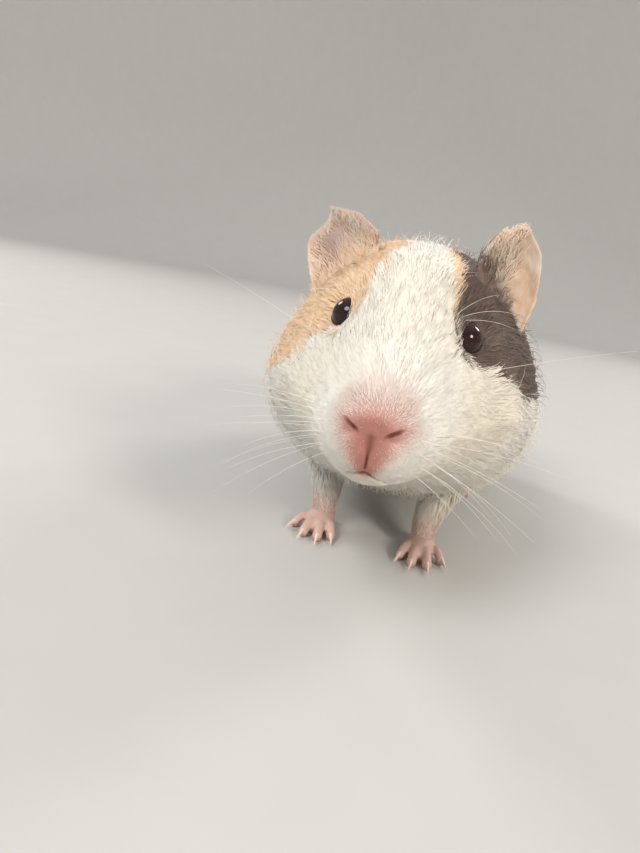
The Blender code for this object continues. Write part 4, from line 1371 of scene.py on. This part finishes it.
def make_camera():
    """Looks at the point between the eyes from the animal's front, rolled, with that point to
    the right of and above the middle of the view."""
    azimuth, height, roll = map(math.radians, (CAMERA_AZIMUTH, CAMERA_HEIGHT, CAMERA_ROLL))
    target = Vector(in_head((0, 0, 0))) * MM
    out = Vector((math.sin(azimuth) * math.cos(height), -math.cos(azimuth) * math.cos(height),
                  math.sin(height)))
    right = (-out).cross(Vector((0, 0, 1))).normalized()
    up = right.cross(-out)
    across = right * math.cos(roll) + up * math.sin(roll)
    above = up * math.cos(roll) - right * math.sin(roll)
    square_on = Matrix((across, above, out)).transposed()
    aim = Vector((*CAMERA_AIM, -1)).normalized()
    turn = aim.rotation_difference(Vector((0, 0, -1))).to_matrix()
    camera = bpy.data.objects.new("camera", bpy.data.cameras.new("camera"))
    camera.data.lens = CAMERA_LENS
    camera.data.clip_start = 0.005
    camera.matrix_world = Matrix.Translation(target + out * CAMERA_DISTANCE) @ (square_on @ turn).to_4x4()
    bpy.context.scene.collection.objects.link(camera)
    bpy.context.scene.camera = camera


def make_light(lamp):
    """A soft round lamp that faces its aim and isn't seen itself."""
    data = bpy.data.lights.new(lamp.name, "AREA")
    data.shape, data.size, data.energy, data.color = "DISK", lamp.size, lamp.watts, lamp.colour
    light = bpy.data.objects.new(lamp.name, data)
    light.location = lamp.place
    way = Vector(lamp.aim) - Vector(lamp.place)
    light.rotation_euler = way.to_track_quat("-Z", "Y").to_euler()
    light.visible_camera = False
    bpy.context.scene.collection.objects.link(light)


def make_studio():
    """A pale round floor that curves up into a wall all round, a wide soft light from the upper
    left of the view, a warm one from the right and two weak ones from behind, in a dim even
    room."""
    around = 96
    quarter = np.linspace(0, math.pi / 2, 13)
    reach = np.concatenate([[300], FLOOR_FLAT + FLOOR_BEND * np.sin(quarter), [FLOOR_FLAT + FLOOR_BEND]])
    height = np.concatenate([[0], FLOOR_BEND * (1 - np.cos(quarter)), [FLOOR_BEND + WALL_HEIGHT]])
    east, north, up = np.eye(3)
    points = reach[:, None, None] * circle(around, east, north) + height[:, None, None] * up
    grid = np.arange(len(reach) * around).reshape(-1, around)
    faces = np.concatenate([halved(walls(grid)), fan(grid[0], grid.size)])
    floor = new_piece("floor", np.concatenate([points.reshape(-1, 3), [(0, 0, 0)]]), faces)
    floor.data.materials.append(floor_finish())
    for lamp in LAMPS:
        make_light(lamp)
    world = bpy.data.worlds.new("room")
    world.use_nodes = True
    sky = world.node_tree.nodes["Background"]
    sky.inputs["Color"].default_value = (ROOM_LIGHT, ROOM_LIGHT, ROOM_LIGHT, 1)
    sky.inputs["Strength"].default_value = ROOM_STRENGTH
    bpy.context.scene.world = world
    bpy.context.scene.view_settings.view_transform = "Standard"


# ---------------- the whole animal

def main():
    """Makes every piece and gives it its finish; hangs the animal's pieces on the root and hides the
    imported parts that they take the place of.
    """
    make_camera()
    make_studio()
    body, fields = body_surface()
    legs = {(part, side): leg_surface(LEGS[part], side) for part in LEGS for side in SIDES.values()}
    ears = {side: ear_surface(side) for side in SIDES.values()}

    body = Surface(shaped_face(body), body.depth)
    skin = make_skin(body, legs, ears)
    skin.data.materials.clear()
    skin.data.materials.append(skin_finish())
    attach(skin, "root")
    flesh = ["muzzle", "head", "neck", "trunk"]
    flesh += [f"{part}_{side}" for part in ("ear", "foreleg", "forefoot", "hindleg", "hindfoot")
              for side in SIDES]
    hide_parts(*flesh)

    wet, horn, hair = eye_finish(), claw_finish(), coat_finish()
    for side_name, side in SIDES.items():
        eye = make_eye(side_name, side)
        eye.data.materials.append(wet)
        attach(eye, "root")
        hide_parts(f"eye_{side_name}")
        for part, foot in FEET.items():
            for n, (_, radii, tip, heading) in enumerate(foot_plan(foot)[1], 1):
                name = f"claw_{part}_{side_name}_{n}"
                claw = closed_piece(f"horn_{part}_{side_name}_{n}",
                                    claw_points(tip, heading, radii[2], side))
                claw.data.materials.append(horn)
                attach(claw, "root")
                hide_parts(name)

    whiskers = make_whiskers()
    whiskers.data.materials.append(whisker_finish())
    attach(whiskers, "root")
    for piece in [*body_coats(body, fields), leg_coat(legs), ear_coat(ears)]:
        piece.data.materials.append(hair)
        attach(piece, "root")


main()
